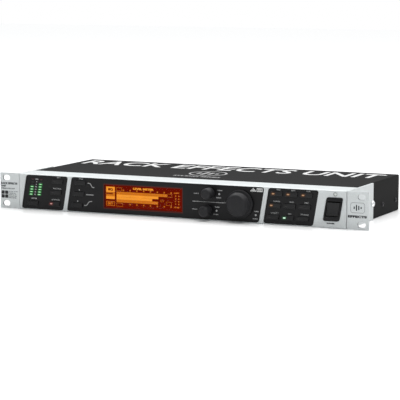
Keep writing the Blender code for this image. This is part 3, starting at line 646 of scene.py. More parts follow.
def make_lips(finish):
    """The dark edge of each bezel, which closes the gap between it and the sheet round it."""
    lips = []
    for node in ("meter_bezel", "display_bezel", "keypad_bezel"):
        low, high = measured(node)
        margin = 2 * (BEZEL_FLANGE + WINDOW_GAP)
        width = high.x - low.x - margin - SLANT * (high.z - low.z)
        height = high.z - low.z
        ring = less(plate(width + 2 * WINDOW_GAP, height + 2 * WINDOW_GAP, -1.2, -0.1, 3.0),
                    [plate(width - 1.0, height - 1.0, -2.0, 1.0, 2.2)])
        lips.append(put(leaned(ring), "front", ((low.x + high.x) / 2, 0.0, (low.z + high.z) / 2)))
    piece("window_lips", joined(lips), finish, "bezel")


def print_meter(ink):
    """Scale between the bars, and the words over the keys."""
    scale = []
    marks = ("MAX", "3", "6", "12", "18", "24", "30")
    for mark, left, right in zip(marks, meter_rows("left_meter_bar"), meter_rows("right_meter_bar")):
        x, z = (left[0] + right[0]) / 2, left[2]
        scale.append(word_at(mark, x, z, 4.2 if mark == "MAX" else 1.1 * len(mark), 1.4, weight=0.05))
    key = middle("meter_key")
    scale.append(word_at("METER", key.x + 1.7, key.z + 6.0, 8.0, 1.5, weight=0.03))
    for name, text, width in (("level_key_top", "SET", 5.0), ("level_key_middle", "RECALL", 11.4),
                              ("level_key_bottom", "BYPASS", 10.6)):
        key = middle(name)
        scale.append(word_at(text, key.x + 1.8, key.z + 5.0, width))
    piece("meter_print", joined(scale), ink, "silver_panel")


def soft_step(steps=20):
    """A flat start, a soft fall from 1 to 0 in the middle, and a flat end, along a unit run."""
    runs = [i / steps for i in range(steps + 1)]
    return [(u, 0.5 - 0.5 * math.tanh(7.0 * (u - 0.5)) / math.tanh(3.5)) for u in runs]


def ribbon(points, line):
    """A printed stroke of even width along points in the local plane."""
    bm = bmesh.new()
    verts = [bm.verts.new((u, v, -INK / 2)) for u, v in points]
    edges = [bm.edges.new(pair) for pair in zip(verts, verts[1:])]
    normals = []
    for i, (u, v) in enumerate(points):
        before, after = points[max(i - 1, 0)], points[min(i + 1, len(points) - 1)]
        along = Vector((after[0] - before[0], after[1] - before[1])).normalized()
        normals.append(Vector((-along.y, along.x, 0.0)) * line)
    grown = bmesh.ops.extrude_edge_only(bm, edges=edges)["geom"]
    far = [item for item in grown if isinstance(item, bmesh.types.BMVert)]
    for vert in far:
        nearest = min(range(len(points)), key=lambda i: (Vector(points[i]) - vert.co.xy).length)
        vert.co += normals[nearest]
    thick = bmesh.ops.extrude_face_region(bm, geom=bm.faces[:])["geom"]
    top = [item for item in thick if isinstance(item, bmesh.types.BMVert)]
    bmesh.ops.translate(bm, verts=top, vec=(0, 0, INK))
    bmesh.ops.recalc_face_normals(bm, faces=bm.faces)
    return bm


def print_display(label, white, grey):
    """Words by the page keys and knobs, the three curve marks, and a plain mark by the wheel."""
    labels, bright, soft = [], [], []
    keys = [middle(f"page_key_{row}") for row in ("top", "middle", "bottom")]
    labels.append(word_at("PAGE", keys[0].x + 1.0, keys[0].z + 4.9, 5.4))
    for key in keys[1:]:
        labels.append(put(film(1.3, 1.3, 0.5), "front", (key.x + 1.0, -BEZEL_FACE, key.z + 5.0)))
    falling = [(u * 9.0, v * 5.0) for u, v in soft_step()]
    rising = [(u * 11.0, (1 - v) * 5.3) for u, v in soft_step()]
    soft.append(put(ribbon(falling, 1.1), "front", (-119.4, -BEZEL_FACE, 30.9)))
    soft.append(put(film(10.4, 1.1, 0.4), "front", (-116.6, -BEZEL_FACE, 22.3)))
    soft.append(put(ribbon(rising, 1.1), "front", (-124.4, -BEZEL_FACE, 8.4)))
    labels.append(word_at("LIST", 25.8, 31.6, 6.8, 1.2, weight=0.03))
    labels.append(word_at("VALUE", 23.2, 12.8, 7.4, 1.2, weight=0.03))
    soft.append(put(film(43.0, 0.6, 0.25), "front", (42.2, -BEZEL_FACE, 22.1)))
    for x, width in ((24.5, 7.6), (57.0, 11.0)):
        labels.append(word_at("EDIT" if x < 40 else "SELECT", x, 22.15, width, 1.1, weight=0.02))
    for x, z in ((55.2, 32.2), (51.8, 12.3), (101.8, 9.9)):
        lean = SLANT * 4.3
        labels.append(word_at("TURN", x + lean, z + 4.3, 6.0, 1.3, weight=0.03))
        labels.append(put(drum(1.15, -INK / 2, INK / 2, 0.01, 24), "front", (x, -BEZEL_FACE, z)))
        labels.append(word_at("PUSH", x - lean, z - 4.4, 6.0, 1.3, weight=0.03))
    bars = ((-7.4, 1.6), (-5.9, 2.8), (-4.4, 4.2), (-2.9, 3.0), (-1.4, 1.8))
    mark = [outline(8.0, 4.2, 0.7, 1.0, (3.9, 0.0)), film(5.2, 0.7, 0.2, (3.9, 0.7)),
            film(5.2, 0.7, 0.2, (3.9, -0.8)),
            *[film(0.95, height, 0.2, (u, -2.1 + height / 2)) for u, height in bars]]
    bright.append(put(joined(mark), "front", (102.9, -BEZEL_FACE, 39.5)))
    piece("display_labels", joined(labels), label, "silver_panel")
    piece("display_print", joined(bright), white, "silver_panel")
    piece("display_curve_marks", joined(soft), grey, "silver_panel")


KEYPAD_WORDS = {"top": (("MENU", 5.0), ("EDIT", 5.0), ("DUAL", 5.2)),
                "middle": (("COMPARE", 8.4), ("SEND", 5.0), ("SYNC", 5.4)),
                "bottom": (("UTILITY", 9.4), ("ON", 3.6), ("STORAGE", 9.8))}


def print_keypad(ink):
    shapes = []
    for row, labels in KEYPAD_WORDS.items():
        for column, (text, width) in zip(("left", "middle", "right"), labels):
            key = middle(f"keypad_{row}_{column}")
            shapes.append(word_at(text, key.x + 2.4, key.z + 4.9, width))
    piece("keypad_print", joined(shapes), ink, "silver_panel")


def make_display(ground, bright, mid, dark, spill, window_finish, module_finish):
    """Backlit panel: a red ground with menu boxes, level bars, scales and figures in amber dots."""
    low, high = measured("lcd_lens")
    module_low, module_high = measured("lcd_module")
    width, height = high.x - low.x, high.z - low.z
    x, z = (low.x + high.x) / 2, (low.z + high.z) / 2
    level = -(high.y + 0.12)

    def at(shape, u, v, lift=0.0):
        """Put a shape at the window's lower left corner plus u and v."""
        return put(shape, "front", (low.x + u, -(level + lift), low.z + v))

    case = plate(module_high.x - module_low.x, module_high.z - module_low.z, -module_high.y, -module_low.y,
                 0.8, 0.3)
    piece("display_module", put(case, "front", (x, 0.0, z)), module_finish, "display",
          replaces=["lcd_module"])
    panel = plate(width, height, -module_low.y - 0.02, level, 0.3)
    piece("display_ground", put(panel, "front", (x, 0.0, z)), ground, "display")
    lens = plate(width, height, -high.y, -low.y, 0.4, 0.25)
    piece("display_window", put(lens, "front", (x, 0.0, z)), window_finish, "lens", replaces=["lcd_lens"])
    frame_film = outline(width + 3.2, height + 3.2, 1.3, 1.2)
    piece("display_spill", put(frame_film, "front", (x, -BEZEL_FACE, z)), spill, "display")

    lit, soft, cut_out = [], [], []
    box = 7.0
    for v, tall, kind in ((22.0, 6.6, lit), (16.1, 4.4, soft), (12.1, 3.5, lit)):
        kind.append(at(film(11.8, tall), box, v))
    soft.append(at(outline(11.6, 5.6, 0.6), box, 5.0))
    cut_out.append(at(words("EQ", 6.4, 3.4, 0.08), box, 21.9, 0.03))
    cut_out.append(at(film(9.0, 1.6), box - 1.2, 16.9, 0.03))
    soft.append(at(words("SET", 7.6, 2.6, 0.06), box, 5.0))

    for right, v, tall, kind in ((82.5, 18.1, 3.4, soft), (71.1, 14.9, 3.0, lit), (70.4, 13.4, 0.3, soft),
                                 (62.9, 11.9, 3.0, lit), (70.7, 8.6, 3.4, soft)):
        kind.append(at(film(right - 15.2, tall), (right + 15.2) / 2, v))
    lit.append(at(words("LEVEL METER", 27.6, 2.5, 0.06), 51.1, 24.3))
    for i in range(8):
        u = 24.3 + 9.1 * i
        soft.append(at(film(1.7, 1.7, 0.4), u, 21.7))
        if i:
            soft.append(at(film(1.7, 1.7, 0.4), u, 4.8))
    soft.append(at(outline(8.4, 4.2, 0.35), 19.4, 3.9))
    soft.append(at(outline(7.2, 4.0, 0.35), 18.6, 22.8))
    for u, v, wide, tall in ((86.0, 18.4, 6.2, 4.0), (85.0, 8.6, 7.2, 4.4), (76.0, 11.6, 4.4, 2.2)):
        soft.append(at(outline(wide, tall, 0.3), u, v))
    soft.append(at(words("LEFT", 7.2, 1.6, 0.06), 95.4, 21.8))
    for i, v in enumerate((18.3, 14.9, 11.8, 8.5)):
        soft.append(at(words(str(3 + 2 * i), 1.6, 1.8, 0.06), 94.0, v))
        soft.append(at(film(1.2, 1.7, 0.3), 98.1, v))
    soft.append(at(words("12 dB", 7.0, 1.6, 0.06), 95.4, 4.8))
    piece("display_bright_dots", joined(lit), bright, "display")
    piece("display_soft_dots", joined(soft), mid, "display")
    piece("display_cut_out_dots", joined(cut_out), dark, "display")


def small_knob_shape():
    """A plain cap with a well-rounded front edge and a pointer groove."""
    profile = [(0, 13.7), (2.2, 13.65), *arc((3.6, 10.9), 2.75, 90, 4, 12), (6.45, 4.6),
               *arc((6.1, 0.5), 0.5, 0, -90, 3), (3.3, 0.0), (3.3, 9.6), (0, 9.6)]
    bm = turned(profile, RING_STEPS)
    return less(bm, [plate(0.5, 3.0, 13.2, 14.5, at=(0.0, 3.6))])


def wheel_shape():
    """The jog wheel: a crowned face, a grip that widens towards the panel, a waist, and a skirt."""
    crown = [(radius, 13.0 - CROWN + math.sqrt(CROWN ** 2 - radius ** 2)) for radius in (0, 2.5, 5, 7.5, 9.7)]
    face_edge = arc((10.6, 10.6), 1.5, 72, 26, 8)
    grip = [(13.0, 9.7), *arc((13.55, 7.0), 0.75, 25, -35, 5)]
    waist = [(13.35, 4.4), *arc((14.5, 3.6), 1.3, 170, 262, 6)]
    skirt = [*arc((15.9, 1.45), 0.9, 80, -10, 6), (16.75, 0.5), (16.4, 0.0)]
    return turned([*crown, *face_edge, *grip, *waist, *skirt, (3.3, 0.0), (3.3, 9.6), (0, 9.6)], RING_STEPS)


def make_knobs(finish):
    """Each cap is turned about its own shaft, from its CAD node's axis."""
    for node, shape in (("upper_knob", small_knob_shape), ("lower_knob", small_knob_shape),
                        ("jog_wheel", wheel_shape)):
        x, _, z = middle(node)
        body = next(name for name, nodes in BODIES.items() if node in nodes)
        piece(f"{node}_cap", put(shape(), "front", (x, -KNOB_BACK, z)), finish, "knob", body, [node])


def rocker_shape(width, half):
    """A rocker with a hollow face: its side outline drawn across its width, its upper corners rounded."""
    side = [(3.8, half), (3.35, 4.8), (3.05, 1.8), (3.0, 0.0), (3.05, -1.8), (3.35, -4.8), (3.8, -half),
            (0.0, -half + 0.4), (-4.0, -4.2), (-4.6, 0.0), (-4.0, 4.2), (0.0, half - 0.4)]
    bm = bmesh.new()
    face = bm.faces.new([bm.verts.new((-width / 2, up, out)) for out, up in side])
    grown = bmesh.ops.extrude_face_region(bm, geom=[face])["geom"]
    far = [item for item in grown if isinstance(item, bmesh.types.BMVert)]
    bmesh.ops.translate(bm, verts=far, vec=(width, 0, 0))
    bmesh.ops.recalc_face_normals(bm, faces=bm.faces)
    sides = [edge for edge in bm.edges if abs(edge.verts[0].co.x - edge.verts[1].co.x) < 0.001
             and min(vert.co.z for vert in edge.verts) > 2.5]
    tips = [edge for edge in bm.edges if edge not in sides
            and all(abs(vert.co.y) > half - 0.1 and vert.co.z > 3 for vert in edge.verts)]
    round_edges(bm, sides + tips, 0.35, 3)
    return bm


def make_switch(frame_finish, rocker_finish, lamp_finish, ring_finish):
    """The power rocker in its frame, and the lamp above it."""
    low, high = measured("power_switch_frame")
    x, z = (low.x + high.x) / 2, (low.z + high.z) / 2
    width = high.x - low.x - SLANT * (high.z - low.z)
    tall = high.z - low.z
    rocker = middle("power_rocker")
    rocker_low, rocker_high = measured("power_rocker")
    rocker_width = rocker_high.x - rocker_low.x - SLANT * (rocker_high.z - rocker_low.z)
    well = plate(rocker_width + 1.0, 2 * (ROCKER_HALF + 1.0), -high.y + 1.0, 3.0, 0.6,
                 at=(0.0, ROCKER_PIVOT_Z - z))
    flange = plate(width, tall, -0.28, -low.y, 2.6, 0.5)
    body = plate(width - 3.2, tall - 3.2, -high.y, -0.26, 1.2)
    frame_shape = joined([less(flange, [well.copy()]), less(body, [well])])
    piece("switch_frame", put(leaned(frame_shape), "front", (x, 0.0, z)), frame_finish, "bezel",
          replaces=["power_switch_frame"])

    cap = rocker_shape(rocker_width, ROCKER_HALF)
    bmesh.ops.rotate(cap, verts=cap.verts, matrix=Matrix.Rotation(ROCKER_TILT, 3, "X"))
    bmesh.ops.translate(cap, verts=cap.verts, vec=(0, 0, ROCKER_PIVOT_OUT))
    piece("rocker_cap", put(leaned(cap), "front", (rocker.x, 0.0, ROCKER_PIVOT_Z)), rocker_finish, "keycap",
          "rocker", ["power_rocker"])

    lamp = middle("power_lamp")
    dome = turned([(0, 0.45), *arc((0.0, -1.7), 2.15, 72, 38, 5), (1.7, -0.4), (1.7, -6.0), (0, -6.0)], 40)
    piece("power_lamp_dome", put(dome, "front", (lamp.x, 0.0, lamp.z)), lamp_finish, "lamp",
          replaces=["power_lamp"])
    ring = tube(2.45, 1.78, -1.0, 0.25, 0.12)
    piece("power_lamp_ring", put(ring, "front", (lamp.x, 0.0, lamp.z)), ring_finish, "silver_panel")


# ---------------------------------------------------------------- ears and cover

def pan_head(radius, height):
    """A pan-head screw's head, with a cross recess."""
    steps = [math.radians(angle) for angle in range(15, 91, 15)]
    dome = [(radius * math.sin(a), height * (0.25 + 0.75 * math.cos(a))) for a in steps]
    bm = turned([(0, height), *dome, (radius, 0), (0, 0)], 32)
    cross = [plate(radius * 1.1, radius * 0.24, height * 0.45, height + 1.0),
             plate(radius * 0.24, radius * 1.1, height * 0.45, height + 1.0)]
    return less(bm, cross)


def make_ear_screws(finish):
    for side in ("left", "right"):
        node = f"{side}_ear_screw"
        low, high = measured(node)
        height = high.x - low.x
        x = low.x if side == "right" else high.x
        head = pan_head((high.z - low.z) / 2, height)
        place = (x, (low.y + high.y) / 2, (low.z + high.z) / 2)
        piece(f"{side}_ear_pan_screw", put(head, side, place), finish, "bright_screw", replaces=[node])


def line_slots(finish):
    """A dull grey lining inside each rack slot. It is partly the raw cut edge, where the lacquer doesn't
    reach, and partly painted shade for the shadow on the slot walls.
    """
    edges = []
    for side in ("left", "right"):
        low, high = measured(f"{side}_rack_ear")
        x = math.copysign(SLOT_X, low.x + high.x)
        for z in SLOT_LEVELS:
            # The lining's darker grey is painted shade for the shadow inside the slot, as well as the bare
            # cut edge
            wall = less(plate(SLOT[0], SLOT[1], -1.95, -0.05, SLOT[1] / 2 - 0.01, steps=12),
                        [plate(SLOT[0] - 0.16, SLOT[1] - 0.16, -3.0, 1.0, SLOT[1] / 2 - 0.09, steps=12)])
            edges.append(put(wall, "front", (x, 0.0, z)))
    piece("slot_edges_and_painted_shade", joined(edges), finish, "silver_panel")


def fill_seams(finish):
    """The ear's flange seen through the hairline gap between each ear and the front sheet."""
    strips = []
    for side in ("left", "right"):
        low, high = measured(f"{side}_rack_ear")
        edge = min(abs(low.x), abs(high.x)) - WINDOW_GAP / 2
        x = math.copysign(edge, low.x + high.x)
        strip = plate(WINDOW_GAP - 0.04, SEAM_HEIGHT, -1.9, -0.3)
        strips.append(put(strip, "front", (x, 0.0, PANEL_MID_Z)))
    piece("ear_seams", joined(strips), finish, "silver_panel")


def print_ears(dark, mid, fine):
    """A plain mark and word on the right ear, and plain lines of words on the left."""
    mark = put(outline(17.4, 12.0, 0.4, 3.0), "front", (227.6, PANEL_FACE, 25.4))
    bars = [film(1.4, tall, 0.4, (u, 0.0)) for u, tall in ((-4.2, 3.0), (-1.4, 7.0), (1.4, 5.0), (4.2, 2.4))]
    words_right = [put(joined(bars), "front", (227.6, PANEL_FACE, 25.4)),
                   word_at("EFFECTS", 227.4, 15.2, 22.9, 2.9, PANEL_FACE, 0.07),
                   word_at("POWER", 195.2, 5.6, 9.8, 1.7, PANEL_FACE, 0.09)]
    blocks = []
    for column in range(2):
        for row in range(2):
            place = (-237.6 + 5.0 * column, PANEL_FACE, 19.6 - 4.8 * row)
            blocks.append(put(film(4.5, 4.3, 0.9), "front", place))
    lines = [word_at("RACK EFFECTS", -228.8, 30.9, 23.4, 2.7, PANEL_FACE, 0.09),
             word_at("UNIT", -236.7, 27.5, 7.0, 2.5, PANEL_FACE, 0.09),
             word_at("STEREO, 2 IN 2 OUT", -230.4, 24.4, 19.6, 1.9, PANEL_FACE, 0.07)]
    small = ("48 kHz, 24 BIT", "STEREO IN", "DIGITAL IN", "ONE RACK UNIT", "LEVEL METER")
    widths = (14.0, 10.6, 11.4, 12.2, 11.6)
    notes = [word_at(text, -223.6 - (13.0 - wide) / 2, 20.8 - 1.95 * i, wide, 1.3, PANEL_FACE, 0.05)
             for i, (text, wide) in enumerate(zip(small, widths))]
    piece("ear_print", joined([*words_right, *blocks]), dark, "silver_panel")
    piece("ear_lines", joined([mark, *lines]), mid, "silver_panel")
    piece("ear_fine_print", joined(notes), fine, "silver_panel")


def print_cover(ink, faint):
    """Large plain words along the rear of the cover, and a small mark in the middle."""
    top = measured("top_cover")[1].z
    large = put(words("RACK EFFECTS UNIT", 405.0, 40.0, 0.015), "top", (0.5, 157.0, top))
    piece("cover_lettering", large, ink, "silver_panel")
    mark = [tube(24.0, 21.6, -INK / 2, INK / 2, 0.01, 72),
            *[film(4.2, tall, 1.6, (u, 0.0)) for u, tall in ((-12, 12), (-4, 26), (4, 18), (12, 8))]]
    shapes = [put(joined(mark), "top", (-3.0, 98.0, top)),
              put(words("STUDIO SERIES", 62.0, 7.0, 0.03), "top", (-3.0, 64.0, top))]
    piece("cover_mark", joined(shapes), faint, "silver_panel")


# ---------------------------------------------------------------- rear

REAR_FACE = measured("rear_panel")[1].y
XLR_PINS = (90, 210, 330)
XLR_RADIUS = 11.7
XLR_CUP = 9.6
XLR_ISLAND = 7.8
XLR_PIN_CIRCLE = 4.6
MIDI_PIN_CIRCLE = 3.9
MIDI_POLES = 5


def around(radius, degrees):
    return (radius * math.cos(math.radians(degrees)), radius * math.sin(math.radians(degrees)))


def rear_piece(name, shapes, x, z, finish, slot, **more):
    """A piece on the rear face, of shapes drawn round (x, z)."""
    piece(name, put(joined(shapes), "rear", (x, REAR_FACE, z)), finish, slot, **more)


def make_xlr(node, shell_finish, metal, contact, female):
    """A round three-pole connector set in the panel: an island with sockets, or a cup with pins."""
    x, _, z = middle(node)
    proud = measured(node)[1].y - REAR_FACE
    rim = tube(XLR_RADIUS, XLR_CUP - 0.05, -16.0, proud, 0.3, RING_STEPS)
    housing = plate(24.6, 25.2, -19.0, -1.5, 1.2)
    housing = less(housing, [drum(XLR_CUP, -15.0, 2.0, 0.1)])
    shapes = [rim, housing]
    contacts = []
    for degrees in XLR_PINS:
        at = around(XLR_PIN_CIRCLE, degrees)
        if female:
            contacts.append(tube(1.45, 1.05, -6.0, proud + 0.06, 0.08, PIN_STEPS, at))
        else:
            contacts.append(drum(1.2, -15.0, proud - 2.6, 0.8, PIN_STEPS, at))
    if female:
        island = drum(XLR_ISLAND, -15.0, proud, 0.3)
        holes = [drum(1.5, -8.0, 2.0, 0.1, PIN_STEPS, around(XLR_PIN_CIRCLE, d)) for d in XLR_PINS]
        shapes.append(less(island, holes))
        latch = joined([plate(6.2, 2.6, -4.0, proud + 0.6, 0.5, 0.25, (0.0, 10.4)),
                        plate(3.4, 0.5, proud + 0.3, proud + 0.9, 0.2, at=(0.0, 10.4))])
        piece(f"{node}_latch", put(latch, "rear", (x, REAR_FACE, z)), metal, "nickel")
    else:
        shapes.append(plate(2.0, 1.4, -14.0, proud - 1.0, 0.2, at=(0.0, 8.7)))
    rear_piece(f"{node}_shell", shapes, x, z, shell_finish, "connector", replaces=[node])
    rear_piece(f"{node}_contacts", contacts, x, z, contact, "nickel")


def make_jacks(shell_finish, metal):
    """Two quarter-inch jacks: one housing, and a threaded bush with a hexagon nut for each."""
    low, high = measured("jack_block")
    x, z = (low.x + high.x) / 2, (low.z + high.z) / 2
    gap = (high.x - low.x) / 2 - 8.0
    proud = high.y - REAR_FACE
    raised = SOCKET_Z - z
    housing = plate(high.x - low.x, high.z - low.z, low.y - REAR_FACE, -1.5, 0.8, 0.3)
    bores = [drum(3.2, -24.0, 2.0, 0.1, at=(u, raised)) for u in (-gap, gap)]
    piece("jack_housing", put(less(housing, bores), "rear", (x, REAR_FACE, z)), shell_finish, "connector",
          replaces=["jack_block"])
    ridges = [point for i in range(4) for point in ((4.8, -1.4 + i), (4.55, -0.9 + i))]
    bush = [(3.25, -1.5), *ridges, (4.6, proud), (3.6, proud), (3.25, proud - 0.4)]
    nut = [(4.0, 0.05), (6.3, 0.05), (6.6, 0.35), (6.6, 1.5), (6.1, 1.9), (4.0, 1.9)]
    metalwork = []
    for u in (-gap, gap):
        metalwork.append(turned(bush, ROUND_STEPS, True, (u, raised)))
        metalwork.append(turned(nut, 6, True, (u, raised)))
        metalwork.append(tube(6.9, 4.4, 0.0, 0.4, 0.1, ROUND_STEPS, (u, raised)))
    rear_piece("jack_nuts", metalwork, x, z, metal, "nickel", crease=25.0)


def make_optical(shell_finish, door_finish):
    """Two square optical sockets with their dust doors shut."""
    low, high = measured("optical_block")
    x, z = (low.x + high.x) / 2, SOCKET_Z
    centres = (-6.0, 6.0)
    wells = [plate(9.4, 8.4, -8.0, 3.0, 1.0, at=(u, 0.0)) for u in centres]
    block = plate(23.2, 12.8, -8.5, high.y - REAR_FACE, 0.8, 0.3)
    back = plate(high.x - low.x, 16.0, low.y - REAR_FACE, -1.5, 0.8)
    shape = joined([less(block, [well.copy() for well in wells]), less(back, wells)])
    piece("optical_sockets", put(shape, "rear", (x, REAR_FACE, z)), shell_finish, "connector",
          replaces=["optical_block"])
    doors = [plate(9.1, 8.1, -1.6, -0.9, 0.9, 0.2, (u, 0.0)) for u in centres]
    doors += [plate(3.0, 0.5, -0.95, -0.6, 0.2, at=(u, -2.4)) for u in centres]
    rear_piece("optical_doors", doors, x, z, door_finish, "connector")


def make_clock(metal, insulator, contact):
    """The bayonet coaxial socket, with its lugs, nut and centre contact."""
    low, high = measured("clock_socket")
    x, z = (low.x + high.x) / 2, SOCKET_Z
    proud = high.y - REAR_FACE
    wall = [(4.1, -1.5), (4.8, -1.5), (4.8, proud - 0.4), (4.4, proud), (4.1, proud)]
    barrel = turned(wall, ROUND_STEPS, True)
    lugs = [turned([(0, 0), (0, 0.9), (0.8, 0.9), (0.95, 0.7), (0.95, 0)], PIN_STEPS) for _ in range(2)]
    for sign, lug in zip((-1, 1), lugs):
        bmesh.ops.rotate(lug, verts=lug.verts, matrix=Matrix.Rotation(sign * math.pi / 2, 3, "Y"))
        bmesh.ops.translate(lug, verts=lug.verts, vec=(sign * 4.7, 0, proud - 2.5))
    nut = turned([(4.0, 0.05), (6.4, 0.05), (6.8, 0.4), (6.8, 1.7), (6.4, 2.0), (4.0, 2.0)], 6, True)
    body = plate(14.0, 14.0, -13.0, -1.6, 1.0)
    rear_piece("clock_barrel", [barrel, nut, body, *lugs], x, z, metal, "nickel",
               replaces=["clock_socket"], crease=25.0)
    sleeve = tube(2.5, 0.9, -1.0, proud - 0.6, 0.15)
    base = drum(4.05, -1.4, 1.6, 0.1)
    rear_piece("clock_insulator", [sleeve, base], x, z, insulator, "connector")
    pin = tube(0.85, 0.5, 0.0, proud - 1.0, 0.1, PIN_STEPS)
    piece("clock_contact", put(pin, "rear", (x, REAR_FACE, z)), contact, "nickel")


def make_midi(shell_finish, metal, contact):
    """Three five-pole round sockets: a keyed metal skirt round an insert with five holes."""
    low, high = measured("midi_block")
    x, z = (low.x + high.x) / 2, SOCKET_Z
    reach = (high.x - low.x) / 2 - 10.0
    proud = high.y - REAR_FACE
    shells, skirts, contacts = [], [], []
    back = plate(high.x - low.x, high.z - low.z, low.y - REAR_FACE, -1.6, 0.8)
    shells.append(less(back, [drum(8.0, -9.0, 2.0, 0.1, at=(u, 0.0)) for u in (-reach, 0.0, reach)]))
    for u in (-reach, 0.0, reach):
        shells.append(tube(8.6, 7.05, -9.0, proud, 0.25, ROUND_STEPS, (u, 0.0)))
        circle = [around(MIDI_PIN_CIRCLE, 45 * i) for i in range(MIDI_POLES)]
        poles = [(u + across, up) for across, up in circle]
        insert = drum(5.9, -9.0, proud - 0.2, 0.2, at=(u, 0.0))
        shells.append(less(insert, [drum(0.8, -6.0, 3.0, 0.1, 12, pole) for pole in poles]
                           + [plate(2.2, 1.6, -9.0, 3.0, 0.3, at=(u, -5.6))]))
        skirts.append(tube(7.0, 6.6, -8.0, proud - 0.1, 0.1, ROUND_STEPS, (u, 0.0)))
        contacts += [tube(0.75, 0.5, -5.0, proud - 0.6, 0.05, 12, pole) for pole in poles]
    rear_piece("midi_sockets", shells, x, z, shell_finish, "connector", replaces=["midi_block"])
    rear_piece("midi_skirts", skirts, x, z, metal, "nickel")
    rear_piece("midi_contacts", contacts, x, z, contact, "nickel")


def make_inlet(shell_finish, metal):
    """The mains inlet: a flange with a deep cup and three flat blades."""
    low, high = measured("mains_inlet")
    x, z = (low.x + high.x) / 2, (low.z + high.z) / 2
    proud = high.y - REAR_FACE
    flange = plate(high.x - low.x, high.z - low.z, 0.3, proud, 1.6, 0.5)
    body = plate(28.0, 20.8, low.y - REAR_FACE, 0.35, 1.6)
    cup = plate(25.0, 17.0, proud - 16.0, proud + 1.0, 2.5)
    shape = joined([less(flange, [cup.copy()]), less(body, [cup])])
    piece("inlet_cup", put(shape, "rear", (x, REAR_FACE, z)), shell_finish, "connector",
          replaces=["mains_inlet"])
    blades = [plate(2.0, 4.0, proud - 16.0, proud - 3.0, 0.3, 0.5, at)
              for at in ((0.0, 3.4), (7.0, -1.6), (-7.0, -1.6))]
    rear_piece("inlet_blades", blades, x, z, metal, "nickel")


def make_case_screws(finish):
    """Black pan heads: along the rear edges, and at each rear corner of the cover's sides."""
    heads = []
    for x in (-204.0, -126.0, -64.0, 22.0, 98.0, 205.0):
        for z in (5.0, 38.0):
            heads.append(put(pan_head(2.6, 1.6), "rear", (x, REAR_FACE, z)))
    cover_low, cover_high = measured("top_cover")
    for side, x in (("left", cover_low.x), ("right", cover_high.x)):
        for depth in (128.0, 176.0):
            heads.append(put(pan_head(2.6, 1.6), side, (x, depth, 14.0)))
    piece("case_screws", joined(heads), finish, "bright_screw")


def print_rear(ink):
    """Plain words under the connectors."""
    labels = [("IN L", "input_socket_left"), ("IN R", "input_socket_right"), ("OUT L", "output_plug_left"),
              ("OUT R", "output_plug_right"), ("MIC", "mic_socket"), ("DIGITAL IN", "digital_input_socket"),
              ("DIGITAL OUT", "digital_output_plug"), ("AUX", "jack_block"), ("OPTICAL", "optical_block"),
              ("CLOCK", "clock_socket"), ("MIDI  IN  OUT  THRU", "midi_block"), ("MAINS", "mains_inlet")]
    shapes = []
    for text, node in labels:
        shapes.append(put(words(text, 1.35 * len(text), 1.9, 0.02), "rear", (middle(node).x, REAR_FACE, 6.2)))
    for low_x, high_x in ((-187.0, -129.0), (-127.0, -69.0), (-35.0, 51.0)):
        shapes.append(put(film(high_x - low_x, 0.5), "rear", ((low_x + high_x) / 2, REAR_FACE, 38.6)))
    piece("rear_print", joined(shapes), ink, "silver_panel")


# ---------------------------------------------------------------- the whole unit

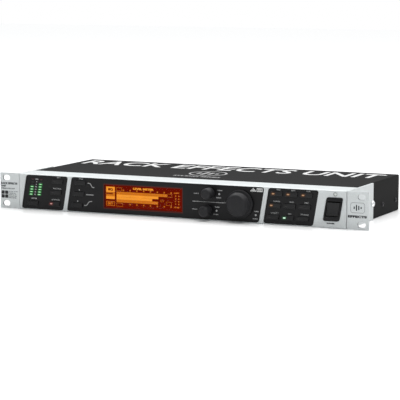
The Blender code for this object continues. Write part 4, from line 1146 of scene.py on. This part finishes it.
def main():
    make_camera()
    light_the_room()
    lay_floor()

    silver = satin_silver_lacquer()
    black = powder_coated_steel()
    overlay = printed_polycarbonate()
    key_plastic = moulded_abs_key()
    knob_plastic = satin_abs_knob()
    connector = glass_filled_nylon()
    nickel = nickel_plate()
    gold = gold_flash()
    zinc = zinc_plated_steel()
    shaft = ground_steel()
    # Dull grey for the slot walls: the bare cut edge, and painted shade for the shadow in the slots
    raw_edge_and_shade = sheared_edge_and_painted_shade()
    grey_ring = moulded_grey_ring()
    white_ink = screen_ink("white_screen_ink", "#D9DAD9", "#C4C5C4")
    label_ink = screen_ink("label_screen_ink", "#A9AAAA", "#9C9D9D")
    grey_ink = screen_ink("grey_screen_ink", "#8A8B8B", "#7C7D7D")
    dark_ink = screen_ink("dark_screen_ink", "#2E2F31", "#232426")
    line_ink = screen_ink("line_screen_ink", "#55585A", "#494C4E")
    fine_ink = screen_ink("fine_screen_ink", "#6C7072", "#606466")
    cover_ink = screen_ink("cover_screen_ink", "#BDBDBD", "#ADADAD")
    cover_faint_ink = screen_ink("cover_faint_ink", "#9C9C9C", "#8C8C8C")
    lamps = {
        "green": lit_lens("lit_green_lens", "#58A866", "#173F1E", 1.0),
        "core": lit_lens("lit_green_core", "#C2EEC6", "#3F6B46", 1.0),
        "halo": lit_lens("green_meter_glow", "#0C3414", "#08140A", 1.0),
        "dark": smoked_lens("smoked_green_lens", "#262B28", "#1E2220"),
        "dark_red": smoked_lens("smoked_red_lens", "#3E2A2D", "#322023"),
    }
    key_lamps = {
        "red": lit_lens("lit_red_lens", "#B88C86", "#4A2420", 1.0),
        "amber": lit_lens("lit_amber_lens", "#B08868", "#3A2818", 1.0),
        "green": lit_lens("lit_green_key_lens", "#D6F5E0", "#5C8A68", 1.0),
        "dark": smoked_lens("smoked_key_lens", "#2B2A2A", "#232222"),
    }
    key_glows = {
        "red": lit_lens("red_key_glow", "#380D0C", "#180606", 1.0),
        "amber": lit_lens("amber_key_glow", "#2C1A0C", "#140A04", 1.0),
        "green": lit_lens("green_key_glow", "#0A331A", "#06140A", 1.0),
    }

    dress(silver, "front_fascia", "left_rack_ear", "right_rack_ear")
    dress(black, "top_cover", "bottom_tray", "rear_panel")
    dress(overlay, "meter_bezel", "display_bezel", "keypad_bezel")
    dress(shaft, "upper_shaft", "lower_shaft", "wheel_shaft")
    dress(nickel, "upper_encoder", "lower_encoder", "wheel_encoder")
    dress(solder_mask_board(), "control_board", "main_board", "power_supply_board")
    dress(transformer_tape(), "power_transformer")

    make_lips(overlay)
    make_keys(key_plastic, key_lamps, key_glows)
    make_meters(lamps, connector)
    make_display(display_glow("display_red_ground", "#6E1204", "#520B02"),
                 display_glow("display_amber_dots", "#FFA436", "#E07A1C"),
                 display_glow("display_orange_dots", "#D87A20", "#A8500C"),
                 display_glow("display_dark_dots", "#7A2A04", "#5E1C02"),
                 lit_lens("display_edge_glow", "#3C0C04", "#140604", 1.0),
                 coated_acrylic(), connector)
    make_knobs(knob_plastic)
    make_switch(overlay, key_plastic, milky_lamp(), grey_ring)
    print_meter(label_ink)
    print_display(label_ink, white_ink, grey_ink)
    print_keypad(label_ink)

    # Slot linings: bare cut edge with painted shade for the shadow inside each slot
    line_slots(raw_edge_and_shade)
    fill_seams(silver)
    make_ear_screws(zinc)
    print_ears(dark_ink, line_ink, fine_ink)
    print_cover(cover_ink, cover_faint_ink)

    for node in ("input_socket_left", "input_socket_right", "mic_socket", "digital_input_socket"):
        make_xlr(node, connector, nickel, gold, True)
    for node in ("output_plug_left", "output_plug_right", "digital_output_plug"):
        make_xlr(node, connector, nickel, gold, False)
    make_jacks(connector, nickel)
    make_optical(connector, key_plastic)
    make_clock(nickel, white_ink, gold)
    make_midi(connector, nickel, gold)
    make_inlet(connector, nickel)
    make_case_screws(black_oxide_steel())
    print_rear(white_ink)


main()
